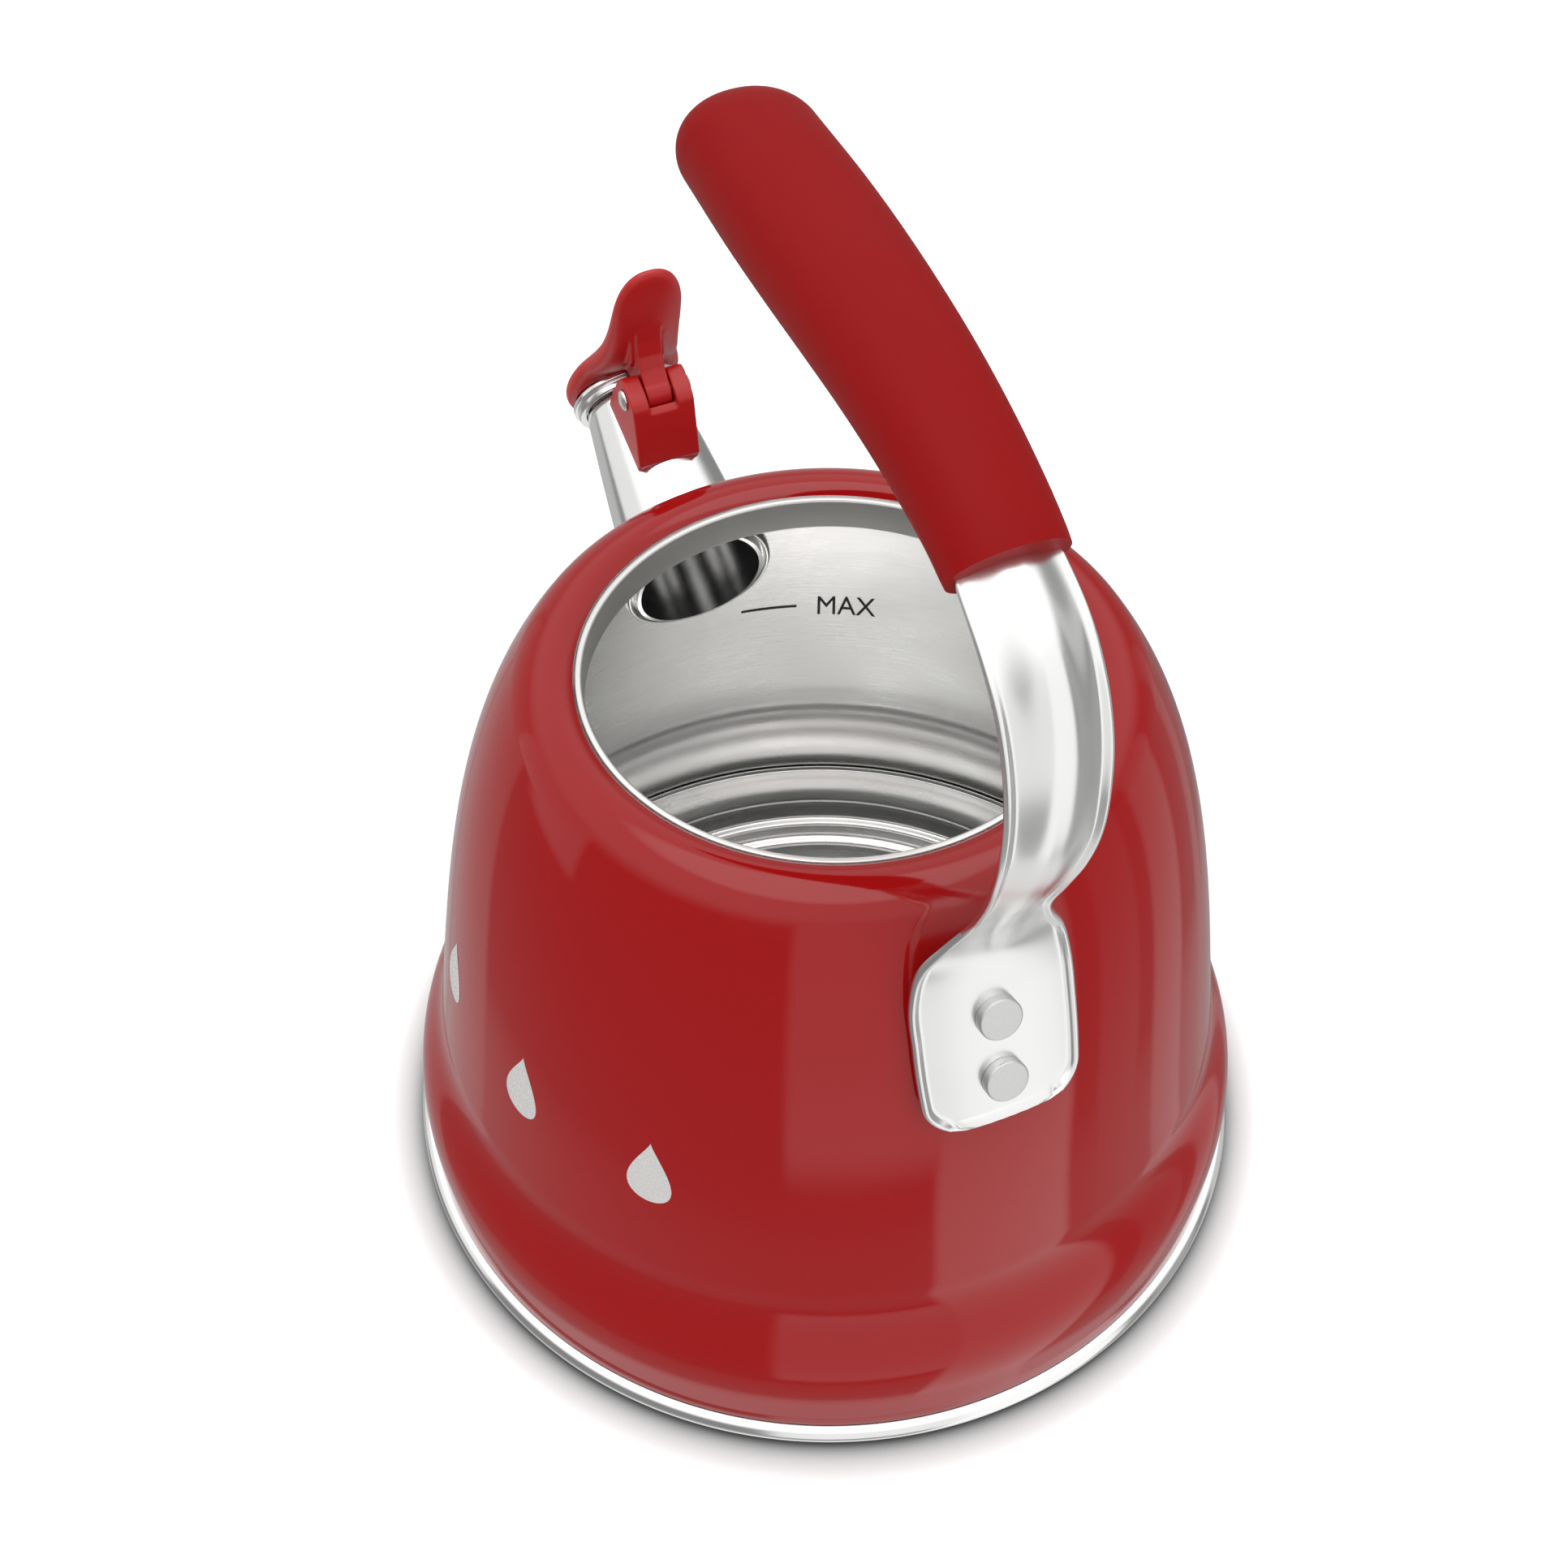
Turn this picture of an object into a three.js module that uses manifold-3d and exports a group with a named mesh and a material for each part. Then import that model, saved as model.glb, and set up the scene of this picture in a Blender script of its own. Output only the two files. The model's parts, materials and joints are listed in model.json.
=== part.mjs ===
// Stovetop whistling kettle, in millimetres. +Z is up and the table is at Z = 0. The body's axis is
// the Z axis, the handle is riveted on at +X, and the spout leaves at -X.

import * as THREE from 'three';
import { ParametricGeometry } from 'three/addons/geometries/ParametricGeometry.js';
import { mergeVertices } from 'three/addons/utils/BufferGeometryUtils.js';
import Module from 'manifold-3d';

const wasm = await Module();
wasm.setup();

// ---- Driving dimensions -------------------------------------------------------------------------

const GAP = 0.3; // air between neighbouring pieces
const WALL = 1.0; // pressed steel sheet of the body
const ROUND = 40; // sides of the large turned pieces
const SMALL_ROUND = 22; // sides of the small turned pieces

const BASE_R = 110; // outer radius of the bright foot ring
const SHELL_FOOT_Z = 6.4; // lower edge of the enamelled shell
const BELT_R = 107.7; // radius of the belt around the foot of the shell
const BELT_TOP_Z = 19;
const WAIST_R = 99; // where the belt's step meets the dome
const WAIST_Z = 52;
const SHOULDER_R = 72.5; // where the dome turns into the shoulder
const SHOULDER_Z = 154;
const RIM_R = 57.9; // edge of the filling opening
const RIM_Z = 158.7;

const FLOOR_R = 78; // flat floor of the pan
const FLOOR_Z = 6.2;
const PAN_SHEET = 0.9;
const PAN_EDGE_R = 105.6; // inner face of the pan's turned-up edge
const CORE_FROM_Z = 1.3; // heat-spreading disc
const CORE_TO_Z = 4.9;
const FOOT_BEAD_R = 2.8; // half-round of the foot ring
const FOOT_RING_INNER_R = 103.7;

const SPOUT_X = -86.4; // spout axis where it meets the wall
const SPOUT_Z = 115;
const SPOUT_PITCH = THREE.MathUtils.degToRad(27); // climb of the spout above level
const SPOUT_ROOT_R = 17.6; // outer radius at the wall
const SPOUT_MOUTH_R = 12.5; // outer radius at the mouth
const SPOUT_LENGTH = 49.3; // from the wall to the mouth, along the axis
const SPOUT_WALL = 1.0;
const SPOUT_START = -14; // inner end of the tube before it is cut along the wall
const SPOUT_TAPER = 1.25; // how much the taper steepens towards the mouth
const FLANGE_WIDTH = 2.6; // of the bright ring around the spout's hole
const FLANGE_SHEET = 1.8;

const PIN_AT = 40.4; // hinge pin: distance along the spout
const PIN_HIGH = 24.8; // hinge pin: height above the spout's axis
const PIN_R = 1.5;
const PIN_HOLE_SIDES = 20;
const BARREL_R = 4.4; // the cap's knuckle around the pin
const SPRING_ROOM_R = 3.6; // recess in the knuckle for the return spring
const SLOT_HALF = 3.7; // half the slot between the bracket's ears
const SLOT_FLOOR = 18.6; // floor of that slot, above the spout's axis
const BRACKET_HALF = 8.3; // half the bracket's width
const BRACKET_FOOT = 8; // height of the bracket's lower edge above the spout's axis
const STUD_R = 2.2; // welded stud that keys the bracket to the tube
const STUD_AT = 32;
const STUD_TOP = 18.5;
const CUP_R = 15.2; // rim of the steel whistle cup
const CUP_BACK = SPOUT_LENGTH + GAP;
const CUP_FRONT = 53.2;
const CAP_SKIRT_R = 15.6;
const CAP_TIP = 59.2; // tip of the thumb paddle, above the spout's axis
const PADDLE_HALF = 9.2; // half the paddle's width
const VENT_R = 7.5; // steam vent in the face of the cap
const DISC_R = 12.1; // whistle discs
const DISC_HOLE_R = 1.6;

const RIVET_PITCH = THREE.MathUtils.degToRad(19.5); // tilt of the rivets, square to the plate
const RIVETS = { upper: [83.8, 133.4], lower: [89.1, 118.1] }; // x, z at the middle of the plate
const RIVET_R = 2.5;
const RIVET_HEAD_R = 5;
const RIVET_TAIL = -6.9; // end of the closed tail, inside the body
const WASHER_R = 6.2;
const WASHER_FROM = -4.9;
const WASHER_TO = -3.9;
const STRAP_SHEET = 1.4;
const WRAP_TOP_Z = 170; // below this the strap's plate starts to follow the round of the body
const WRAP_BLEND = 22;
const WRAP_ROUND = 175; // twice the radius of the body under the plate
const GRIP_END_X = 71; // mount end of the grip
const GRIP_TIP_X = -57; // free end of the grip
const CORE_DEPTH = 4.2; // thickness of the soft sleeve over the core
const TANG_ROOM_HALF = 7; // half the width of the core's pocket for the strap's tang
const SPREAD_ROOM_HALF = 11; // and where the strap spreads to leave the grip
const SPREAD_X = 48;

// ---- Materials ----------------------------------------------------------------------------------

function finish(color, roughness, metalness) {
  return new THREE.MeshStandardMaterial({ color, roughness, metalness });
}

const redEnamel = finish(0xa81c1e, 0.12, 0);
const redSilicone = finish(0xa51c1d, 0.5, 0);
const redNylon = finish(0x9e1a1c, 0.4, 0);
const darkNylon = finish(0x222222, 0.6, 0);
const polishedSteel = finish(0xe6e6e6, 0.08, 1);
const brushedSteel = finish(0xb4b4b2, 0.35, 1);
const rawAluminium = finish(0xa8aaac, 0.5, 1);
const whiteSilicone = finish(0xdcdcd6, 0.6, 0);

// ---- Solids -------------------------------------------------------------------------------------

const v2 = (x, y) => new THREE.Vector2(x, y);

function signedVolume(position, index) {
  const [a, b, c] = [new THREE.Vector3(), new THREE.Vector3(), new THREE.Vector3()];
  let sum = 0;
  for (let i = 0; i < index.length; i += 3) {
    a.fromBufferAttribute(position, index[i]);
    b.fromBufferAttribute(position, index[i + 1]);
    c.fromBufferAttribute(position, index[i + 2]);
    sum += a.dot(b.cross(c)) / 6;
  }
  return sum;
}

// A closed three.js geometry as a solid, with its faces turned outwards.
function solid(geometry) {
  geometry.deleteAttribute('normal');
  geometry.deleteAttribute('uv');
  const merged = mergeVertices(geometry, 1e-4);
  const all = merged.index.array;
  const index = [];
  for (let i = 0; i < all.length; i += 3) {
    const [a, b, c] = [all[i], all[i + 1], all[i + 2]];
    if (a !== b && b !== c && c !== a) index.push(a, b, c);
  }
  if (signedVolume(merged.attributes.position, index) < 0) index.reverse();
  const vertProperties = new Float32Array(merged.attributes.position.array);
  const triVerts = new Uint32Array(index);
  return new wasm.Manifold(new wasm.Mesh({ numProp: 3, vertProperties, triVerts }));
}

function piece(name, body, material) {
  const mesh = body.getMesh();
  const geometry = new THREE.BufferGeometry();
  geometry.setAttribute('position', new THREE.Float32BufferAttribute(mesh.vertProperties, 3));
  geometry.setIndex(new THREE.Uint32BufferAttribute(mesh.triVerts, 1));
  const result = new THREE.Mesh(geometry, material);
  result.name = name;
  return result;
}

// A ring or disc turned about the Z axis from a closed (radius, height) outline.
function turned(points, sides = ROUND) {
  const outline = [...points, points[0]].map(([r, z]) => v2(r, z));
  return solid(new THREE.LatheGeometry(outline, sides).rotateX(Math.PI / 2));
}

// An outline in the (x, z) plane, pushed through the thickness half either side of y = 0.
function slab(shape, half, curveSteps = 8) {
  const settings = { depth: 2 * half, bevelEnabled: false, curveSegments: curveSteps };
  const geometry = new THREE.ExtrudeGeometry(shape, settings);
  return solid(geometry.translate(0, 0, -half).rotateX(Math.PI / 2));
}

function polygon(points) {
  return new THREE.Shape(points.map(([x, y]) => v2(x, y)));
}

function rodAlongY(radius, from, to, x, z, sides = SMALL_ROUND) {
  const rod = new THREE.CylinderGeometry(radius, radius, to - from, sides);
  return solid(rod.translate(x, (from + to) / 2, z));
}

// ---- Body ---------------------------------------------------------------------------------------

// The shell's outer outline, from its foot up over the shoulder to the rim.
function shellOutline() {
  const belt = new THREE.LineCurve(v2(BELT_R - 0.3, SHELL_FOOT_Z), v2(BELT_R, BELT_TOP_Z));
  const step = new THREE.CubicBezierCurve(
    v2(BELT_R, BELT_TOP_Z), v2(BELT_R, 36), v2(WAIST_R + 1, 36), v2(WAIST_R, WAIST_Z));
  const dome = new THREE.CubicBezierCurve(
    v2(WAIST_R, WAIST_Z), v2(93, 92), v2(88.2, 130), v2(SHOULDER_R, SHOULDER_Z));
  const shoulder = new THREE.CubicBezierCurve(
    v2(SHOULDER_R, SHOULDER_Z), v2(69, 160), v2(61.8, 162.4), v2(RIM_R, RIM_Z));
  return [[belt, 1], [step, 6], [dome, 6], [shoulder, 6]];
}

// Points of the shell's outline, moved inwards by a depth.
function shellPoints(depth) {
  const points = [];
  for (const [curve, steps] of shellOutline()) {
    for (let i = points.length ? 1 : 0; i <= steps; i++) {
      const at = curve.getPoint(i / steps);
      const along = curve.getTangent(i / steps);
      points.push([at.x - depth * along.y, at.y + depth * along.x]);
    }
  }
  return points;
}

// Everything inside the shell's outline at a depth, as one solid.
function shellInside(depth) {
  const points = shellPoints(depth);
  const top = points[points.length - 1][1];
  return turned([[0, SHELL_FOOT_Z - 4], [points[0][0], SHELL_FOOT_Z - 4], ...points, [0, top]]);
}

const spoutFrame = new THREE.Group();
spoutFrame.position.set(SPOUT_X, 0, SPOUT_Z);
spoutFrame.rotation.y = SPOUT_PITCH - Math.PI / 2;
spoutFrame.updateMatrix();

function moved(body, matrix) {
  return body.transform(matrix.elements.slice());
}

// In the spout's frame z runs along its axis to the mouth, x is up from the axis, and y stays across.
const toSpout = spoutFrame.matrix.clone().invert();

// Outer radius of the spout: straight inside the wall, then a taper that steepens to the mouth.
function spoutRadius(along) {
  const share = Math.max(0, along) / SPOUT_LENGTH;
  return SPOUT_ROOT_R - (SPOUT_ROOT_R - SPOUT_MOUTH_R) * share ** SPOUT_TAPER;
}

function spoutCone(extra, from, to) {
  const side = [0, 0.25, 0.5, 0.75, 1].map((share) => THREE.MathUtils.lerp(from, to, share));
  const wall = side.map((along) => [spoutRadius(along) + extra, along]);
  return turned([[0, from], ...wall, [0, to]], SMALL_ROUND + 8);
}

function rivetFrame([x, z]) {
  const frame = new THREE.Object3D();
  frame.position.set(x, 0, z);
  frame.rotation.y = Math.PI / 2 - RIVET_PITCH;
  frame.updateMatrix();
  return frame;
}

// The holes that both rivets pass through, as two rods.
function rivetHoles() {
  const outline = [[0, -14], [RIVET_R + GAP, -14], [RIVET_R + GAP, 6], [0, 6]];
  return Object.values(RIVETS).map((at) => moved(turned(outline, 20), rivetFrame(at).matrix));
}

function bodyShell() {
  let shell = turned([...shellPoints(0), ...shellPoints(WALL).reverse()]);
  shell = shell.subtract(moved(spoutCone(GAP, -20, 40), spoutFrame.matrix));
  for (const hole of rivetHoles()) shell = shell.subtract(hole);
  return shell;
}

// The steel lining of the filling opening, with a small bead at its lower edge.
function neckCollar() {
  const [inner, outer] = [RIM_R - 2.1, RIM_R - GAP];
  return turned([
    [inner, RIM_Z - 8.2], [inner, RIM_Z - 0.3], [inner + 0.5, RIM_Z + 0.2], [outer - 0.2, RIM_Z + 0.1],
    [outer, RIM_Z - 0.4], [outer, RIM_Z - 6.8], [outer + 1, RIM_Z - 7.8], [outer + 0.7, RIM_Z - 8.8],
    [outer - 0.8, RIM_Z - 9],
  ]);
}

// ---- Base ---------------------------------------------------------------------------------------

// The floor: a flat middle, two rings stepped up from it, and a low turned-up edge inside the shell.
function basePan() {
  const top = [
    [0, FLOOR_Z], [FLOOR_R, FLOOR_Z], [FLOOR_R + 2, FLOOR_Z + 1.5], [84, FLOOR_Z + 1.8],
    [85.5, FLOOR_Z + 3.2], [91, FLOOR_Z + 3.5], [93, FLOOR_Z + 2.4], [99, FLOOR_Z + 1.4],
    [103, FLOOR_Z + 1.8], [PAN_EDGE_R - 0.4, FLOOR_Z + 2.6], [PAN_EDGE_R, FLOOR_Z + 3.5],
  ];
  const edge = [[PAN_EDGE_R + 0.4, FLOOR_Z + 3.5], [PAN_EDGE_R + 0.4, FLOOR_Z + 2.2]];
  const under = [
    [103.4, FLOOR_Z + 0.9], [99.2, FLOOR_Z + 0.5], [92.8, FLOOR_Z + 1.4], [90.8, FLOOR_Z + 2.5],
    [86, FLOOR_Z + 2.2], [84.5, FLOOR_Z + 0.8], [81, FLOOR_Z + 0.4], [FLOOR_R + 0.6, FLOOR_Z - PAN_SHEET],
    [0, FLOOR_Z - PAN_SHEET],
  ];
  return turned([...top, ...edge, ...under]);
}

// The heat-spreading disc between the pan and the cap.
function baseCore() {
  const edge = FLOOR_R - 1;
  return turned([[0, CORE_FROM_Z], [edge, CORE_FROM_Z], [edge, CORE_TO_Z], [0, CORE_TO_Z]]);
}

// The magnetic steel dish under the kettle, with its edge turned up around the core.
function baseCap() {
  return turned([
    [0, 0], [97, 0], [101, 0.9], [103.4, 3], [103.4, 5.2], [102.5, 5.2], [102.3, 3.6],
    [100.2, 2], [96.6, 1], [0, 1],
  ]);
}

// The polished ring that closes the joint between the shell and the base.
function footRing() {
  const middle = v2(BASE_R - FOOT_BEAD_R, 3.25);
  const bead = [];
  for (let i = 0; i <= 6; i++) {
    const turn = THREE.MathUtils.lerp(-0.5, 0.5, i / 6) * Math.PI;
    bead.push([middle.x + FOOT_BEAD_R * Math.cos(turn), middle.y + FOOT_BEAD_R * Math.sin(turn)]);
  }
  return turned([[FOOT_RING_INNER_R, 0.9], ...bead, [FOOT_RING_INNER_R, 5.7]]);
}

// ---- Spout --------------------------------------------------------------------------------------

// The tapered tube, cut off inside to follow the wall.
function spoutTube() {
  const outer = spoutCone(0, SPOUT_START, SPOUT_LENGTH);
  const bore = spoutCone(-SPOUT_WALL, SPOUT_START - 1, SPOUT_LENGTH + 1);
  return outer.subtract(bore).subtract(moved(shellInside(WALL + 3), toSpout));
}

// The bright ring around the spout's hole, inside the body.
function spoutFlange() {
  const outer = SPOUT_ROOT_R + FLANGE_WIDTH;
  let collar = turned([[0, -16], [outer, -16], [outer, 14], [0, 14]], SMALL_ROUND + 8);
  collar = collar.subtract(spoutCone(GAP, -20, 20));
  const skin = shellInside(WALL + GAP).subtract(shellInside(WALL + GAP + FLANGE_SHEET));
  return collar.intersect(moved(skin, toSpout));
}

// ---- Hinge of the whistle -----------------------------------------------------------------------

// The saddle on top of the spout. Its sides rest on the tube, and its ears hold the pin.
function hingeBracket() {
  const [foot, face, back] = [25.3, 35.5, 47.2];
  const top = PIN_HIGH + 4.5;
  const side = new THREE.Shape();
  side.moveTo(BRACKET_FOOT, foot);
  side.lineTo(15.6, foot);
  side.lineTo(top - 0.9, face - 0.2);
  side.quadraticCurveTo(top, face, top, face + 1.2);
  side.lineTo(top, back - 3.4);
  side.quadraticCurveTo(top, back - 2.2, top - 1.4, back - 2);
  side.lineTo(15, back);
  side.lineTo(BRACKET_FOOT, back);
  let bracket = slab(side, BRACKET_HALF, 4).subtract(spoutCone(GAP, 0, SPOUT_LENGTH + 5));
  const slotBack = face + 0.2;
  const slot = polygon([[SLOT_FLOOR, slotBack], [40, slotBack], [40, 60], [SLOT_FLOOR, 60]]);
  bracket = bracket.subtract(slab(slot, SLOT_HALF));
  bracket = bracket.subtract(rodAlongY(PIN_R + GAP, -12, 12, PIN_HIGH, PIN_AT, PIN_HOLE_SIDES));
  return bracket.subtract(bracketStudRod(GAP));
}

// The stud inside the bracket, with room added all round.
function bracketStudRod(extra) {
  const top = STUD_TOP + extra;
  const stud = new THREE.CylinderGeometry(STUD_R + extra, STUD_R + extra, top - BRACKET_FOOT, 20);
  return solid(stud.rotateZ(Math.PI / 2).translate((BRACKET_FOOT + top) / 2, 0, STUD_AT));
}

function bracketStud() {
  return bracketStudRod(0).subtract(spoutCone(GAP, 0, SPOUT_LENGTH));
}

// A steel pin with a domed head outside each ear.
function hingePin() {
  const head = [[PIN_R, 0], [2.8, 0], [2.7, 0.5], [1.9, 1], [0, 1.2]];
  const reach = BRACKET_HALF + GAP;
  const far = head.map(([r, z]) => [r, reach + z]);
  const near = head.map(([r, z]) => [r, -reach - z]).reverse();
  const pin = turned([...near, ...far], PIN_HOLE_SIDES);
  const place = new THREE.Matrix4().makeRotationX(-Math.PI / 2);
  place.setPosition(PIN_HIGH, 0, PIN_AT);
  return moved(pin, place);
}

// Two turns of spring wire around the pin, inside the barrel's recess.
function returnSpring() {
  const coils = [];
  for (let i = 0; i <= 32; i++) {
    const turn = 4 * Math.PI * i / 32;
    const at = [PIN_HIGH + 2.8 * Math.cos(turn), 1.75 + 1.1 * i / 32, PIN_AT + 2.8 * Math.sin(turn)];
    coils.push(new THREE.Vector3(...at));
  }
  const wire = new THREE.Shape().absarc(0, 0, 0.3, 0, 2 * Math.PI);
  const settings = { steps: 40, curveSegments: 3, extrudePath: new THREE.CatmullRomCurve3(coils) };
  return solid(new THREE.ExtrudeGeometry(wire, settings));
}

// ---- Whistle ------------------------------------------------------------------------------------

// Front outline of the cap: round over the mouth, then a thumb paddle with a round tip.
function capFront() {
  const shape = new THREE.Shape();
  const [skirt, paddle, tip] = [CAP_SKIRT_R, PADDLE_HALF, CAP_TIP];
  shape.moveTo(-skirt, 0);
  shape.absarc(0, 0, skirt, Math.PI, 0.5 * Math.PI, true);
  shape.bezierCurveTo(6, skirt - 0.4, 14, 12.2, 30, paddle + 1);
  shape.lineTo(46, paddle);
  shape.bezierCurveTo(54, 8.4, tip, 5.2, tip, 0);
  shape.bezierCurveTo(tip, -5.2, 54, -8.4, 46, -paddle);
  shape.lineTo(30, -paddle - 1);
  shape.bezierCurveTo(14, -12.2, 6, 0.4 - skirt, 0, -skirt);
  shape.absarc(0, 0, skirt, 1.5 * Math.PI, Math.PI, true);
  return shape;
}

// Side outline of the cap and its paddle, as (up, along).
function capSide() {
  const shape = new THREE.Shape();
  shape.moveTo(-16, CUP_FRONT + GAP);
  shape.lineTo(-16, 56.4);
  shape.bezierCurveTo(-12, 57.6, 4, 58.4, 14, 58);
  shape.bezierCurveTo(22, 57.6, 30, 56, 40, 55.6);
  shape.lineTo(50, 56.2);
  shape.bezierCurveTo(56, 57, 61, 57.4, 60, 55.4);
  shape.bezierCurveTo(57, 53.4, 48, 51.2, 40, 50.4);
  shape.lineTo(31, 49.6);
  shape.lineTo(CUP_R + 1.6, 50.2);
  shape.quadraticCurveTo(CUP_R + 0.6, 50.4, CUP_R + 0.6, CUP_FRONT + GAP);
  return shape;
}

// The tongue that joins the cap to its barrel on the pin.
function capTongue() {
  const shape = new THREE.Shape();
  shape.moveTo(PIN_HIGH - BARREL_R, PIN_AT);
  shape.absarc(PIN_HIGH, PIN_AT, BARREL_R, Math.PI, 2 * Math.PI, false);
  shape.lineTo(33, 49);
  shape.lineTo(33, 51.5);
  shape.lineTo(CUP_R + 2.5, 51.5);
  shape.lineTo(CUP_R + 4.6, 49);
  return shape;
}

function frontSolid(shape, from, to) {
  const settings = { depth: to - from, bevelEnabled: false, curveSegments: 12 };
  return solid(new THREE.ExtrudeGeometry(shape, settings).translate(0, 0, from));
}

function whistleCap() {
  const dome = [[0, 55], [13, 55], [14.8, 56.6], [13.6, 58.8], [10, 60.4], [5, 61.2], [0, 61.4]];
  const hollow = [[0, 50], [13.9, 50], [13.9, 57.5], [VENT_R, 57.5], [VENT_R, 65], [0, 65]];
  let cap = frontSolid(capFront(), 40, 70).intersect(slab(capSide(), 20, 10));
  cap = cap.add(turned(dome, SMALL_ROUND)).subtract(turned(hollow, SMALL_ROUND));
  cap = cap.add(slab(capTongue(), SLOT_HALF - 0.4, 12));
  cap = cap.subtract(rodAlongY(PIN_R + GAP, -12, 12, PIN_HIGH, PIN_AT, PIN_HOLE_SIDES));
  return cap.subtract(rodAlongY(SPRING_ROOM_R, 1.1, 4, PIN_HIGH, PIN_AT, PIN_HOLE_SIDES));
}

// The steel cup that sits on the mouth. Its grooved rim shows, and its barrel is inside the cap.
function whistleCup() {
  const [rim, barrel, wall] = [CUP_R, 13.5, 12.5];
  return turned([
    [wall, CUP_BACK], [rim - 0.9, CUP_BACK], [rim - 0.7, 51.2], [rim - 1.1, 51.4], [rim, 51.7],
    [rim, CUP_FRONT - 0.3], [rim - 0.3, CUP_FRONT], [barrel, CUP_FRONT], [barrel, 57.2],
    [10.6, 57.2], [10.6, 56.4], [wall, 56.4],
  ], SMALL_ROUND + 4);
}

// A thin disc with the small hole that the steam sounds in.
function whistleDisc(from) {
  const to = from + 0.8;
  return turned([[DISC_HOLE_R, from], [DISC_R, from], [DISC_R, to], [DISC_HOLE_R, to]], SMALL_ROUND);
}

function whistleSeal() {
  return turned([[8.8, 48.2], [10.3, 48.2], [10.7, 48.8], [10.7, 50], [8.8, 50]], SMALL_ROUND);
}

// ---- Handle -------------------------------------------------------------------------------------

// Stations along the strap from its tang to its plate: x, z, half width, crown, rim.
const STRAP = [
  [-36, 263.6, 5.6, 0, 0], [-5, 262.4, 6.2, 0, 0], [27, 259.7, 6.2, 0, 0], [49.5, 255.6, 6.4, 0.3, 0],
  [62.5, 251.6, 9.6, 1.2, 0], [73, 246.6, 10.6, 3.4, 0], [82.3, 240.6, 11, 4.6, 0.2],
  [89.2, 232.5, 11, 4.6, 0.6], [93.4, 223, 10.8, 4.4, 0.9], [95.3, 212.3, 10.5, 4.2, 1],
  [95.2, 200.6, 10.2, 4.1, 1], [92.6, 189, 9.6, 3.8, 1], [88.6, 178, 8.7, 3.4, 1],
  [84.6, 168.6, 8.8, 2.9, 1], [81.4, 159.5, 12.2, 2, 1], [80, 150.5, 16.6, 0.9, 1.1],
  [81.4, 141, 18.7, 0.2, 1.2], [84.8, 131, 19, 0, 1.2], [88.9, 119, 18.8, 0, 1.2],
  [91.3, 112, 17.6, 0, 1.2], [92.5, 108.6, 14, 0, 1.2],
];

// Half of the strap's cross-section: share of the half width, share of the crown, share of the rim.
const STRAP_SECTION = [
  [0, 1, 0], [0.4, 0.86, 0], [0.7, 0.3, -0.1], [0.83, 0.02, 0], [0.92, 0, 0.9], [1, 0, 0.7],
];

function strapSectionLoop() {
  const right = STRAP_SECTION.map(([s, c, r]) => [s, c, r, 0.5]);
  const under = STRAP_SECTION.map(([s, c, r]) => [s, c, r, -0.5]).reverse();
  const half = [...right, ...under];
  const left = half.slice(1, -1).map(([s, c, r, t]) => [-s, c, r, t]).reverse();
  return [...half, ...left];
}

function strapSolid() {
  const route = new THREE.CatmullRomCurve3(STRAP.map(([x, z]) => new THREE.Vector3(x, 0, z)));
  const sizes = new THREE.CatmullRomCurve3(STRAP.map((row) => new THREE.Vector3(...row.slice(2))));
  const loop = strapSectionLoop();
  const stacks = 36;
  const point = (u, v, target) => {
    const station = Math.round(v * stacks);
    const t = THREE.MathUtils.clamp((station - 1) / (stacks - 2), 0, 1);
    const [share, crown, rim, side] = loop[Math.round(u * loop.length) % loop.length];
    const closing = station === 0 || station === stacks;
    const at = route.getPoint(t);
    const along = route.getTangent(t);
    const size = sizes.getPoint(t);
    const y = closing ? 0 : share * size.x;
    const wrap = THREE.MathUtils.smoothstep(WRAP_TOP_Z - at.z, 0, WRAP_BLEND) * y * y / WRAP_ROUND;
    const raise = closing ? 0 : crown * size.y + rim * size.z + side * STRAP_SHEET - wrap;
    target.set(at.x - along.z * raise, y, at.z + along.x * raise);
  };
  return solid(new ParametricGeometry(point, loop.length, stacks));
}

function handleStrap() {
  let strap = strapSolid();
  for (const hole of rivetHoles()) strap = strap.subtract(hole);
  return strap;
}

function rivet() {
  return turned([
    [0, 3.2], [RIVET_HEAD_R - 0.6, 3.2], [RIVET_HEAD_R, 2.7], [RIVET_HEAD_R, 1], [RIVET_R, 1],
    [RIVET_R, -5.2], [4.4, -5.2], [3.6, RIVET_TAIL + 0.4], [0, RIVET_TAIL],
  ], 24);
}

function rivetWasher() {
  const bore = RIVET_R + GAP;
  const outline = [
    [bore, WASHER_FROM], [WASHER_R, WASHER_FROM], [WASHER_R, WASHER_TO], [bore, WASHER_TO],
  ];
  return turned(outline, 24);
}

// Stations along the grip from its free end to its mount end: x, z, half width, half thickness.
const GRIP = [
  [-43.7, 264, 15.2, 10.6], [-18.8, 263, 15.7, 10.6], [0.1, 262, 15.4, 10.4], [15.2, 260.9, 14.8, 10.2],
  [29.3, 259.4, 14.1, 10], [42.7, 257.1, 13.4, 9.8], [55, 254, 12.6, 9.4], [64, 251, 12, 9],
  [GRIP_END_X, 247.7, 11.5, 8.6],
];

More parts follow.
